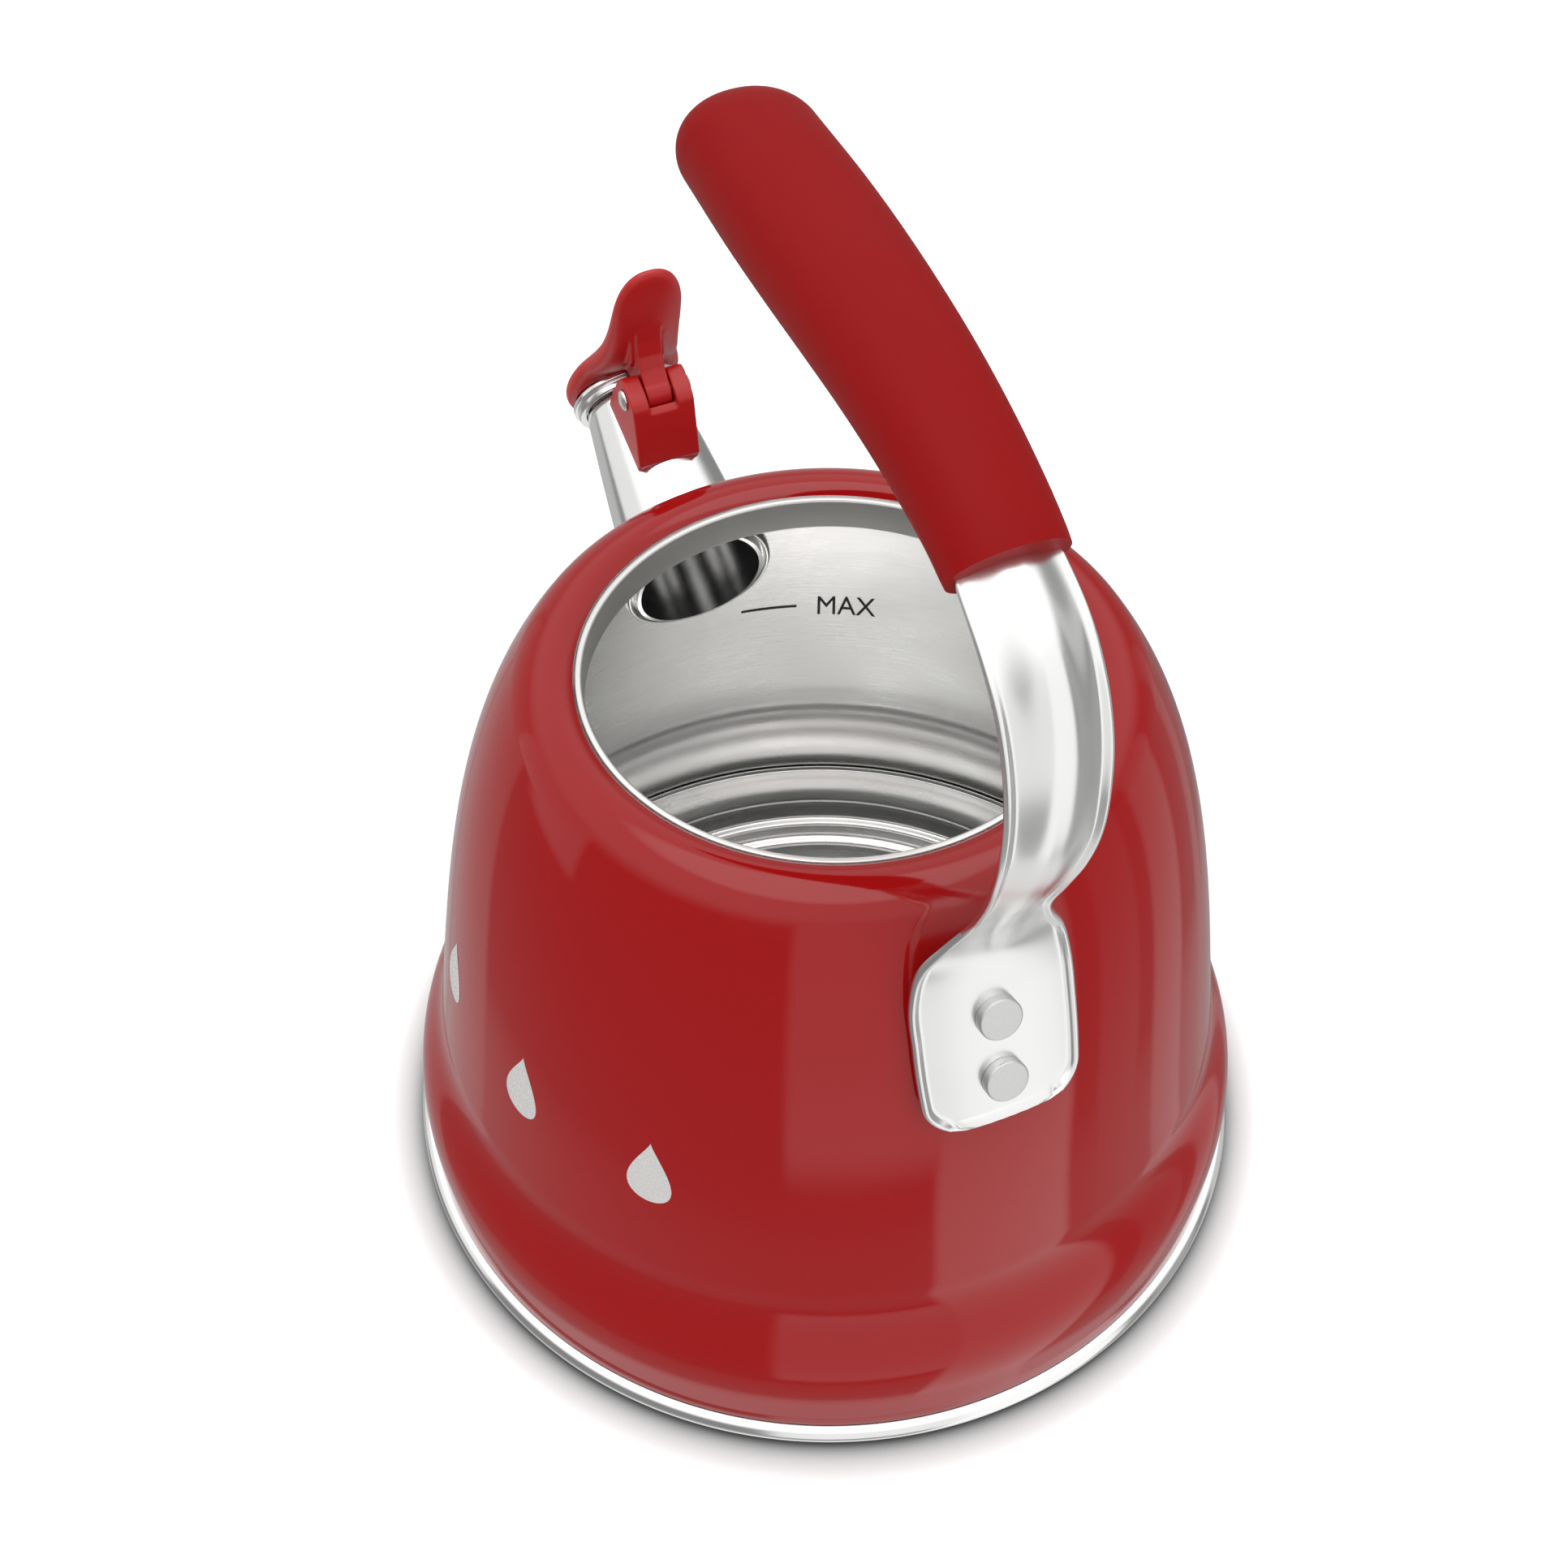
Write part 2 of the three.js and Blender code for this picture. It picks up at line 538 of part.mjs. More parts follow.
// The grip's shape drawn in by a depth all round. At its free end it closes in a blunt dome.
function gripSolid(depth, sides, stacks) {
  const route = new THREE.CatmullRomCurve3(GRIP.map(([x, z]) => new THREE.Vector3(x, 0, z)));
  const sizes = new THREE.CatmullRomCurve3(GRIP.map(([, , w, h]) => new THREE.Vector3(w, h, 0)));
  const tipLength = GRIP[0][0] - GRIP_TIP_X - depth;
  const tipStacks = 6;
  const point = (u, v, target) => {
    const station = Math.round(v * stacks);
    const t = Math.max(0, (station - tipStacks) / (stacks - 1 - tipStacks));
    const dome = 0.5 * Math.PI * Math.min(1, station / tipStacks);
    const shrink = station === stacks ? 0 : Math.sin(dome);
    const at = route.getPoint(Math.min(1, t));
    const along = route.getTangent(Math.min(1, t));
    const size = sizes.getPoint(Math.min(1, t));
    const turn = 2 * Math.PI * u;
    const y = shrink * (size.x - depth) * Math.sin(turn);
    const raise = shrink * (size.y - depth) * Math.cos(turn);
    const back = station < tipStacks ? tipLength * Math.cos(dome) : 0;
    target.set(at.x - back - along.z * raise, y, at.z + along.x * raise);
  };
  return solid(new ParametricGeometry(point, sides, stacks));
}

// A block that removes the last stretch of the grip, square to the strap.
function mountEndCut(x) {
  const last = GRIP[GRIP.length - 1];
  const before = GRIP[GRIP.length - 2];
  const block = new THREE.BoxGeometry(30, 60, 60);
  const slope = (before[1] - last[1]) / (last[0] - before[0]);
  block.translate(15, 0, 0).rotateY(Math.atan(slope));
  return solid(block.translate(x, 0, last[1] + (last[0] - x) * slope));
}

// The moulded core, with a pocket for the strap's tang.
function gripCore() {
  const pocket = strapTangRoom(GAP);
  return gripSolid(CORE_DEPTH + GAP, 12, 18).subtract(mountEndCut(GRIP_END_X - 4)).subtract(pocket);
}

// The room that the strap takes inside the grip, with air around it: narrow along the tang, and wide
// where the strap spreads to leave the grip.
function strapTangRoom(air) {
  const inGrip = STRAP.filter(([, z]) => z > 240);
  const half = STRAP_SHEET / 2 + air;
  const over = inGrip.map(([x, z, , crown]) => [x, z + half + 0.2 + 1.1 * crown]);
  const under = inGrip.map(([x, z]) => [x, z - half - 0.4]).reverse();
  over[0][0] -= 1;
  under[under.length - 1][0] -= 1;
  const room = polygon([...over, ...under]);
  const spread = slab(room, SPREAD_ROOM_HALF).trimByPlane([1, 0, 0], SPREAD_X);
  return slab(room, TANG_ROOM_HALF).add(spread);
}

// The soft red sleeve, open only where the strap comes out.
function handleGrip() {
  const hollow = gripSolid(CORE_DEPTH, 12, 18).subtract(mountEndCut(GRIP_END_X - 3.5));
  return gripSolid(0, 20, 24).subtract(hollow).subtract(strapTangRoom(GAP));
}

// ---- Assembly -----------------------------------------------------------------------------------

const kettle = new THREE.Group();

kettle.add(piece('base_cap', baseCap(), brushedSteel));
kettle.add(piece('base_core', baseCore(), rawAluminium));
kettle.add(piece('base_pan', basePan(), brushedSteel));
kettle.add(piece('foot_ring', footRing(), polishedSteel));
kettle.add(piece('body_shell', bodyShell(), redEnamel));
kettle.add(piece('neck_collar', neckCollar(), brushedSteel));

spoutFrame.add(piece('spout_tube', spoutTube(), polishedSteel));
spoutFrame.add(piece('spout_flange', spoutFlange(), polishedSteel));
spoutFrame.add(piece('bracket_stud', bracketStud(), brushedSteel));
spoutFrame.add(piece('hinge_bracket', hingeBracket(), redNylon));
spoutFrame.add(piece('hinge_pin', hingePin(), polishedSteel));
spoutFrame.add(piece('return_spring', returnSpring(), brushedSteel));
spoutFrame.add(piece('whistle_cap', whistleCap(), redNylon));
spoutFrame.add(piece('whistle_cup', whistleCup(), polishedSteel));
spoutFrame.add(piece('whistle_inner_disc', whistleDisc(50.3), brushedSteel));
spoutFrame.add(piece('whistle_outer_disc', whistleDisc(55.3), brushedSteel));
spoutFrame.add(piece('whistle_seal', whistleSeal(), whiteSilicone));
kettle.add(spoutFrame);

kettle.add(piece('handle_strap', handleStrap(), polishedSteel));
for (const [place, at] of Object.entries(RIVETS)) {
  const frame = rivetFrame(at);
  frame.add(piece(`${place}_rivet`, rivet(), brushedSteel));
  frame.add(piece(`${place}_rivet_washer`, rivetWasher(), brushedSteel));
  kettle.add(frame);
}
kettle.add(piece('grip_core', gripCore(), darkNylon));
kettle.add(piece('handle_grip', handleGrip(), redSilicone));

export default kettle;
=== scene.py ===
# Stovetop whistling kettle: the looks of every piece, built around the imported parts.
# Lengths are in millimetres until a mesh is made. +Z is up, and the handle is on at +X.

import functools
import json
import math

import bmesh
import bpy
import numpy as np
from mathutils import Matrix, Vector


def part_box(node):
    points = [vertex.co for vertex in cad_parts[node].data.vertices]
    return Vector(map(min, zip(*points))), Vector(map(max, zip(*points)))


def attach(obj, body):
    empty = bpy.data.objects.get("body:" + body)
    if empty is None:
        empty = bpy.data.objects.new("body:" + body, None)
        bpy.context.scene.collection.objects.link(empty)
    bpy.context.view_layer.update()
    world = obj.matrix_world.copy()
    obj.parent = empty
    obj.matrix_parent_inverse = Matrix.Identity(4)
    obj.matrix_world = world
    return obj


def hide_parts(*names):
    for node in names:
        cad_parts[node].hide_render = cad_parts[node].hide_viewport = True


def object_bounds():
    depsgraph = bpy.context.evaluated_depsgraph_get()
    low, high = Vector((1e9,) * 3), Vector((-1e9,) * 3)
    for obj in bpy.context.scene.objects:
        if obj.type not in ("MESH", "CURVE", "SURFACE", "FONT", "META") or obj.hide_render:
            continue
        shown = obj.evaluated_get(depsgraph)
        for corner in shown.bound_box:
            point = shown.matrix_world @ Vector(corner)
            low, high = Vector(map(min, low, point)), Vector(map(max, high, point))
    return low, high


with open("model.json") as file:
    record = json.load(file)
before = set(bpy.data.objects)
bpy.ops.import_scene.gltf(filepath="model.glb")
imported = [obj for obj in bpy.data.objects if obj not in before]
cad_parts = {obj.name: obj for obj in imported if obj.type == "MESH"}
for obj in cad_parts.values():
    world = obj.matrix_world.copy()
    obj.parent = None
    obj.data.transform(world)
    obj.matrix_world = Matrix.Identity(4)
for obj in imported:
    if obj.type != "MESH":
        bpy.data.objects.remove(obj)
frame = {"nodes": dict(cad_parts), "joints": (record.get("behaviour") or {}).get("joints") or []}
cad_low, cad_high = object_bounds()

MM = 0.001


# ---- Base cap ------------------------------------------------------------------------------------
# A dish of magnetic stainless steel, pressed and ground flat, that takes the heat of the hob.
# It is 194 mm across its flat underside, and its edge is turned up around the heat-spreading core.

CAP_FLAT_R = 97
CAP_EDGE_R = 103.4
CAP_SHEET = 1


def linear(colour):
    """An sRGB hex colour as linear RGBA."""
    parts = [int(colour[i:i + 2], 16) / 255 for i in (1, 3, 5)]
    return [c / 12.92 if c <= 0.04045 else ((c + 0.055) / 1.055) ** 2.4 for c in parts] + [1]


def add(tree, kind, settings=None, links=None):
    """Adds a shader node, with its properties and socket values set and its inputs linked."""
    made = tree.nodes.new("ShaderNode" + kind)
    for name, value in (settings or {}).items():
        if isinstance(name, str) and hasattr(made, name):
            setattr(made, name, value)
        else:
            made.inputs[name].default_value = value
    for name, source in (links or {}).items():
        tree.links.new(source, made.inputs[name])
    return made


def material(name):
    """An empty material, as (material, its node tree, its surface socket)."""
    made = bpy.data.materials.new(name)
    made.use_nodes = True
    tree = made.node_tree
    tree.nodes.clear()
    return made, tree, add(tree, "OutputMaterial").inputs["Surface"]


def around_axis(tree, apart_mm, round_share):
    """Coordinates that run in rings about the object's Z axis, for marks left by a turning tool.
    The marks are apart_mm apart, and they fade in and out round_share of a radian at a time."""
    place = add(tree, "TexCoord").outputs["Object"]
    split = add(tree, "SeparateXYZ", links={0: place})
    flat = add(tree, "CombineXYZ", links={0: split.outputs[0], 1: split.outputs[1]}).outputs[0]
    radius = add(tree, "VectorMath", {"operation": "LENGTH"}, {0: flat}).outputs["Value"]
    turn = add(tree, "VectorMath", {"operation": "NORMALIZE"}, {0: flat}).outputs[0]
    ring = add(tree, "VectorMath", {"operation": "SCALE", "Scale": 1 / round_share}, {0: turn}).outputs[0]
    out = add(tree, "Math", {"operation": "MULTIPLY", 1: 1 / (apart_mm * MM)}, {0: radius}).outputs[0]
    up = add(tree, "Math", {"operation": "MULTIPLY", 1: 1 / (apart_mm * MM)}, {0: split.outputs[2]})
    both = add(tree, "Math", {"operation": "ADD"}, {0: out, 1: up.outputs[0]}).outputs[0]
    lift = add(tree, "CombineXYZ", links={2: both}).outputs[0]
    return add(tree, "VectorMath", {"operation": "ADD"}, {0: ring, 1: lift}).outputs[0]


BRUSH_MARKS = 0.5  # mm apart, coarser than a real belt's grit, so that the marks show
STAINS = 28  # faint cloudy patches in a metre


def brushed_steel(name, light, dark, rough, spread, depth_mm, anisotropic):
    """Stainless steel finished with an abrasive belt while it turned. The fine rings stretch every
    reflection across themselves, and faint stains cloud it."""
    made, tree, surface = material(name)
    rings = around_axis(tree, BRUSH_MARKS, round_share=0.35)
    grain = add(tree, "TexNoise", {"Scale": 1, "Detail": 4, "Roughness": 0.7}, {0: rings}).outputs["Fac"]
    place = add(tree, "TexCoord").outputs["Object"]
    stains = add(tree, "TexNoise", {"Scale": STAINS, "Detail": 3}, {0: place}).outputs["Fac"]
    tone = add(tree, "Mix", {"data_type": "RGBA", 6: linear(dark), 7: linear(light)}, {0: grain}).outputs[2]
    rougher = add(tree, "MapRange", {3: rough - spread, 4: rough + spread}, {0: grain}).outputs[0]
    cloudy = add(tree, "MapRange", {1: 0.35, 2: 0.65, 3: -0.03, 4: 0.03}, {0: stains}).outputs[0]
    total = add(tree, "Math", {"operation": "ADD"}, {0: rougher, 1: cloudy}).outputs[0]
    bump = add(tree, "Bump", {"Strength": 0.6, "Distance": depth_mm * MM}, {"Height": grain}).outputs[0]
    lay = add(tree, "Tangent", {"direction_type": "RADIAL", "axis": "Z"}).outputs[0]
    shader = add(tree, "BsdfPrincipled", {"Metallic": 1, "Anisotropic": anisotropic},
                 {"Base Color": tone, "Roughness": total, "Normal": bump, "Tangent": lay})
    tree.links.new(shader.outputs[0], surface)
    return made


def linked(name, data):
    """A new object in the scene that shows some data."""
    made = bpy.data.objects.new(name, data)
    bpy.context.scene.collection.objects.link(made)
    return made


def shade(mesh, sharp):
    """Smooth shading, with a crease wherever the faces turn by more than some degrees."""
    mesh.shade_smooth()
    mesh.set_sharp_from_angle(angle=math.radians(sharp))


def piece(name, points, faces, finishes, body, nodes, place=None, which=None, sharp=35):
    """A smooth mesh piece from points in millimetres, riding on its CAD body in place of CAD nodes."""
    mesh = bpy.data.meshes.new(name)
    mesh.from_pydata([Vector(p) * MM for p in points], [], faces)
    for finish in finishes:
        mesh.materials.append(finish)
    if which is not None:
        mesh.polygons.foreach_set("material_index", which)
    whole = bmesh.new()
    whole.from_mesh(mesh)
    bmesh.ops.remove_doubles(whole, verts=whole.verts, dist=1e-3 * MM)
    bmesh.ops.recalc_face_normals(whole, faces=whole.faces)
    whole.to_mesh(mesh)
    whole.free()
    shade(mesh, sharp)
    made = linked(name, mesh)
    if place is not None:
        made.matrix_world = place
    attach(made, body)
    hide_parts(*nodes)
    return made


def rounded(corners, steps=4):
    """A closed outline from corners (radius, height, fillet), with each fillet drawn as an arc."""
    outline = []
    for i, (x, y, fillet) in enumerate(corners):
        at = Vector((x, y))
        if not fillet:
            outline.append(tuple(at))
            continue
        before = Vector(corners[i - 1][:2]) - at
        after = Vector(corners[(i + 1) % len(corners)][:2]) - at
        reach = min(fillet, before.length * 0.48, after.length * 0.48)
        start, end = at + before.normalized() * reach, at + after.normalized() * reach
        for k in range(steps + 1):
            t = k / steps
            outline.append(tuple(start * (1 - t) ** 2 + at * 2 * t * (1 - t) + end * t * t))
    return outline


def ring_faces(sides, count):
    """The faces between outlines of count points, set side by side in a closed ring."""
    faces = []
    for i in range(sides):
        here, there = i * count, (i + 1) % sides * count
        for k in range(count):
            after = (k + 1) % count
            faces.append((here + k, there + k, there + after, here + after))
    return faces


def turned(name, outline, sides, finishes, body, nodes, place=None, which=None, sharp=35):
    """A ring or disc turned about the Z axis from a closed (radius, height) outline."""
    turns = [2 * math.pi * i / sides for i in range(sides)]
    points = [(r * math.cos(a), r * math.sin(a), z) for a in turns for r, z in outline]
    flags = None if which is None else which * sides
    faces = ring_faces(sides, len(outline))
    return piece(name, points, faces, finishes, body, nodes, place, flags, sharp)


ground_ferritic_steel = brushed_steel(
    "ground_ferritic_steel", "#A9A9A7", "#8B8B88", rough=0.36, spread=0.08, depth_mm=0.02, anisotropic=0.5)
turned("base_cap_dish", rounded([
    (0.01, 0, 0), (84, 0, 0.3), (84.6, 0.5, 0.3), (86.4, 0.5, 0.3), (87, 0, 0.3), (CAP_FLAT_R, 0, 2),
    (101, 0.9, 3), (CAP_EDGE_R, 3, 2), (CAP_EDGE_R, 5.2, 0.3), (CAP_EDGE_R - 0.9, 5.2, 0.3),
    (102.3, 3.6, 2), (100.2, 2, 2), (96.6, CAP_SHEET, 2), (0.01, CAP_SHEET, 0),
]), 192, [ground_ferritic_steel], "kettle", ["base_cap"])


# ---- Base core -----------------------------------------------------------------------------------
# A 3.6 mm disc of soft aluminium between the cap and the pan, which spreads the heat.
# It is punched from rolled plate and then sealed in, so only its CAD solid is needed.

# Rolled aluminium: dull and grey, with the faint parallel lines of the mill's rolls.
rolled_aluminium, tree, surface = material("rolled_aluminium")
place = add(tree, "TexCoord").outputs["Object"]
sheet_lines = add(tree, "Mapping", {"Scale": (40, 1200, 1200)}, {0: place})
mill = add(tree, "TexNoise", {"Scale": 1, "Detail": 3}, {0: sheet_lines.outputs[0]}).outputs["Fac"]
mill_tone = add(tree, "Mix", {"data_type": "RGBA", 6: linear("#9FA1A3"), 7: linear("#B4B6B8")}, {0: mill})
mill_rough = add(tree, "MapRange", {3: 0.38, 4: 0.55}, {0: mill}).outputs[0]
shader = add(tree, "BsdfPrincipled", {"Metallic": 1},
             {"Base Color": mill_tone.outputs[2], "Roughness": mill_rough})
tree.links.new(shader.outputs[0], surface)


def refinish(node, finish):
    """Gives a CAD node that keeps its own shape its finish."""
    made = frame["nodes"][node]
    made.data.materials.clear()
    made.data.materials.append(finish)


refinish("base_core", rolled_aluminium)


# ---- Pan -----------------------------------------------------------------------------------------
# The kettle's floor, spun from 0.9 mm stainless sheet: a flat bright middle, a step, a raised ring
# and a turned-up edge that is welded inside the foot of the shell.

FLOOR_R = 78
FLOOR_Z = 6.2
PAN_SHEET = 0.9

spun_stainless = brushed_steel(
    "spun_stainless", "#FFFFFE", "#F8F8F6", rough=0.25, spread=0.06, depth_mm=0.012, anisotropic=0.55)
turned("spun_pan", rounded([
    (0.01, FLOOR_Z, 0), (FLOOR_R, FLOOR_Z, 1), (80, FLOOR_Z + 1.5, 1), (84, FLOOR_Z + 1.8, 0.8),
    (85.5, FLOOR_Z + 3.2, 0.8), (91, FLOOR_Z + 3.5, 1.2), (93, FLOOR_Z + 2.4, 1), (99, FLOOR_Z + 1.4, 3),
    (103, FLOOR_Z + 1.8, 1.5), (105.2, FLOOR_Z + 2.6, 0.8), (105.6, FLOOR_Z + 3.5, 0.1),
    (106, FLOOR_Z + 3.5, 0.1), (106, FLOOR_Z + 2.2, 0.3), (103.4, FLOOR_Z + 0.9, 1), (99.2, FLOOR_Z + 0.5, 2),
    (92.8, FLOOR_Z + 1.4, 1), (90.8, FLOOR_Z + 2.5, 1), (86, FLOOR_Z + 2.2, 0.5), (84.5, FLOOR_Z + 0.8, 0.5),
    (81, FLOOR_Z + 0.4, 0.5), (FLOOR_R + 0.6, FLOOR_Z - PAN_SHEET, 0.5), (0.01, FLOOR_Z - PAN_SHEET, 0),
]), 192, [spun_stainless], "kettle", ["base_pan"])


# ---- Foot ring -----------------------------------------------------------------------------------
# A half-round band of stainless steel, 5.6 mm high, rolled over the joint between shell and base.
# It is polished to a mirror, so it shows as one bright line with a dark one under it.

BASE_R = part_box("foot_ring")[1].x / MM
FOOT_BEAD_R = 2.8
FOOT_BEAD_Z = 3.25
FOOT_INNER_R = 103.7
FOOT_INNER_Z = (0.9, 5.7)

# Stainless steel buffed almost to a mirror: clear reflections, a little blurred by wipe marks.
polished_stainless, tree, surface = material("polished_stainless")
wipes = around_axis(tree, apart_mm=1.2, round_share=0.5)
haze = add(tree, "TexNoise", {"Scale": 1, "Detail": 5, "Roughness": 0.6}, {0: wipes}).outputs["Fac"]
place = add(tree, "TexCoord").outputs["Object"]
buffing = add(tree, "TexNoise", {"Scale": 70, "Detail": 2}, {0: place})
mirror_tone = add(tree, "Mix", {"data_type": "RGBA", 6: linear("#EFEFEE"), 7: linear("#F8F8F7")},
                  {0: buffing.outputs["Fac"]}).outputs[2]
mirror_rough = add(tree, "MapRange", {1: 0.3, 2: 0.7, 3: 0.13, 4: 0.19}, {0: haze}).outputs[0]
ripple = add(tree, "Bump", {"Strength": 0.12, "Distance": 0.01 * MM}, {"Height": haze}).outputs[0]
shader = add(tree, "BsdfPrincipled", {"Metallic": 1},
             {"Base Color": mirror_tone, "Roughness": mirror_rough, "Normal": ripple})
tree.links.new(shader.outputs[0], surface)

bead = [(FOOT_INNER_R, FOOT_INNER_Z[0])]
for i in range(17):
    lean = math.pi * (i / 16 - 0.5)
    out = BASE_R - FOOT_BEAD_R * (1 - math.cos(lean))
    bead.append((out, FOOT_BEAD_Z + FOOT_BEAD_R * math.sin(lean)))
bead.append((FOOT_INNER_R, FOOT_INNER_Z[1]))
turned("foot_band", bead, 256, [polished_stainless], "kettle", ["foot_ring"])


# ---- Body shell ----------------------------------------------------------------------------------
# Drawn from 1 mm steel sheet in one dome with a belt at its foot, and sprayed outside with vitreous
# enamel, which melts into thick glossy glass. Inside, the steel is bare and brushed in rings.

WALL = 1
SHELL_FOOT_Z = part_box("body_shell")[0].z / MM
BELT_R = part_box("body_shell")[1].x / MM
BELT_TOP_Z = 19
RIM_R = 57.9
RIM_Z = 158.7
SHOULDER_TOP = 156
CURVES = [  # belt's step, dome and shoulder: a start, two handles, an end, and how many steps
    ((BELT_R, BELT_TOP_Z), (BELT_R, 36), (100, 36), (99, 52), 26),
    ((99, 52), (93, 92), (88.2, 130), (72.5, 154), 60),
    ((72.5, 154), (69, 160), (61.8, 162.4), (RIM_R, RIM_Z), 26),
]


def shell_outline(depth):
    """The shell's outline from foot to rim, moved inwards by a depth."""
    foot, belt = Vector((BELT_R - 0.3, SHELL_FOOT_Z)), Vector((BELT_R, BELT_TOP_Z))
    path = [foot.lerp(belt, i / 6) for i in range(7)]
    for a, b, c, d, steps in CURVES:
        a, b, c, d = Vector(a), Vector(b), Vector(c), Vector(d)
        for i in range(1, steps + 1):
            t = i / steps
            path.append(a * (1 - t) ** 3 + b * 3 * t * (1 - t) ** 2 + c * 3 * t * t * (1 - t) + d * t ** 3)
    moved = []
    for i, at in enumerate(path):
        along = (path[min(i + 1, len(path) - 1)] - path[max(i - 1, 0)]).normalized()
        moved.append((at.x - depth * along.y, at.y + depth * along.x))
    return moved


@functools.cache
def wall_rows(depth):
    """The heights and radii of the shell's wall below its shoulder, at a depth."""
    return np.array([(z, r) for r, z in shell_outline(depth) if z <= SHOULDER_TOP]).T


def shell_radius(z, depth=0):
    """The shell's radius at a height below the shoulder, at a depth inside its outer face."""
    return float(np.interp(z, *wall_rows(depth)))


# Glass fired on steel: deep even red under a sharp gloss that waves very slightly, like orange
# peel, and a painted shade: a darker line along the foot, where the shell meets the foot ring.
red_enamel, tree, surface = material("red_vitreous_enamel")
place = add(tree, "TexCoord").outputs["Object"]
firing = add(tree, "TexNoise", {"Scale": 9, "Detail": 2}, {0: place}).outputs["Fac"]
peel = add(tree, "TexNoise", {"Scale": 1 / (7 * MM), "Detail": 1}, {0: place}).outputs["Fac"]
height = add(tree, "SeparateXYZ", links={0: place}).outputs[2]
# Painted shade: the red is mixed towards #760A0C in the 2 mm above the shell's foot, next to the foot ring.
painted_foot_shade = add(tree, "MapRange", {1: SHELL_FOOT_Z * MM, 2: (SHELL_FOOT_Z + 2) * MM, 3: 0.55, 4: 0},
                   {0: height}).outputs[0]
glaze = add(tree, "Mix", {"data_type": "RGBA", 6: linear("#8F0E0F"), 7: linear("#970F11")}, {0: firing})
foot_shaded_glaze = add(tree, "Mix", {"data_type": "RGBA", 7: linear("#760A0C")}, {0: painted_foot_shade, 6: glaze.outputs[2]})
glaze_rough = add(tree, "MapRange", {1: 0.3, 2: 0.7, 3: 0.05, 4: 0.09}, {0: firing}).outputs[0]
waves = add(tree, "Bump", {"Strength": 0.25, "Distance": 0.03 * MM}, {"Height": peel}).outputs[0]
shader = add(tree, "BsdfPrincipled", {"IOR": 1.52, "Specular IOR Level": 0.35},
             {"Base Color": foot_shaded_glaze.outputs[2], "Roughness": glaze_rough, "Normal": waves})
tree.links.new(shader.outputs[0], surface)

brushed_inside = brushed_steel(
    "brushed_inside", "#F6F6F5", "#DFDFDD", rough=0.3, spread=0.09, depth_mm=0.02, anisotropic=0.6)

outside = shell_outline(0)
inside = shell_outline(WALL)
shell = turned("enamelled_shell", outside + inside[::-1], 256, [red_enamel, brushed_inside], "kettle",
               ["body_shell"],
               which=[0] * (len(outside) - 1) + [1] * (len(inside) + 1), sharp=50)


# ---- Neck collar ---------------------------------------------------------------------------------
# A rolled strip of stainless steel that lines the filling opening, brushed round its edge.
# It clamps the rim of the shell and ends below in a small rolled bead.

COLLAR_IN = RIM_R - 2.1
COLLAR_OUT = RIM_R - 0.3

brushed_collar = brushed_steel(
    "brushed_collar", "#E6E6E4", "#CFCFCC", rough=0.4, spread=0.06, depth_mm=0.02, anisotropic=0.4)
turned("collar_lining", rounded([
    (COLLAR_IN, RIM_Z - 8.2, 0.3), (COLLAR_IN, RIM_Z - 0.3, 0.4), (COLLAR_IN + 0.5, RIM_Z + 0.2, 0.3),
    (COLLAR_OUT - 0.2, RIM_Z + 0.1, 0.3), (COLLAR_OUT, RIM_Z - 0.4, 0.3), (COLLAR_OUT, RIM_Z - 6.8, 0.6),
    (COLLAR_OUT + 1, RIM_Z - 7.8, 0.5), (COLLAR_OUT + 0.7, RIM_Z - 8.8, 0.5),
    (COLLAR_OUT - 0.8, RIM_Z - 9, 0.4),
]), 256, [brushed_collar], "kettle", ["neck_collar"], sharp=60)


# ---- Fill mark -----------------------------------------------------------------------------------
# A line and the plain word MAX, etched dark into the steel of the far wall at the fill level.
# The letters are 8 mm tall, and the line is 1 mm thick.

MARK_Z = 90.3
LINE_AT = (171, 161.4)
WORD_AT = (157.8, 147.9)
MARK_HIGH = 8
PROUD = 0.06

# An oxide left in the steel by etching: dark grey, dull and slightly pitted.
etched_mark, tree, surface = material("etched_oxide_mark")
place = add(tree, "TexCoord").outputs["Object"]
pits = add(tree, "TexNoise", {"Scale": 1 / (0.3 * MM), "Detail": 2}, {0: place}).outputs["Fac"]
mark_tone = add(tree, "Mix", {"data_type": "RGBA", 6: linear("#2B2B2C"), 7: linear("#454546")},
                {0: pits}).outputs[2]
mark_bump = add(tree, "Bump", {"Strength": 0.3, "Distance": 0.02 * MM}, {"Height": pits}).outputs[0]
shader = add(tree, "BsdfPrincipled", {"Roughness": 0.55}, {"Base Color": mark_tone, "Normal": mark_bump})
tree.links.new(shader.outputs[0], surface)


def wrapped(name, flat, faces, azimuth, z, inside_wall, finish):
    """A flat mark, (across, up) in millimetres, laid on the shell's wall at an azimuth and height."""
    depth = WALL + PROUD if inside_wall else -PROUD
    points = []
    for across, up in flat:
        radius = shell_radius(z + up, depth)
        way = -1 if inside_wall else 1
        turn = math.radians(azimuth) + way * across / shell_radius(z, depth)
        points.append((radius * math.cos(turn), radius * math.sin(turn), z + up))
    return piece(name, points, faces, [finish], "kettle", [])


def evaluated(thing):
    """The mesh an object shows, with its modifiers applied."""
    bpy.context.view_layer.update()
    return bpy.data.meshes.new_from_object(thing.evaluated_get(bpy.context.evaluated_depsgraph_get()))


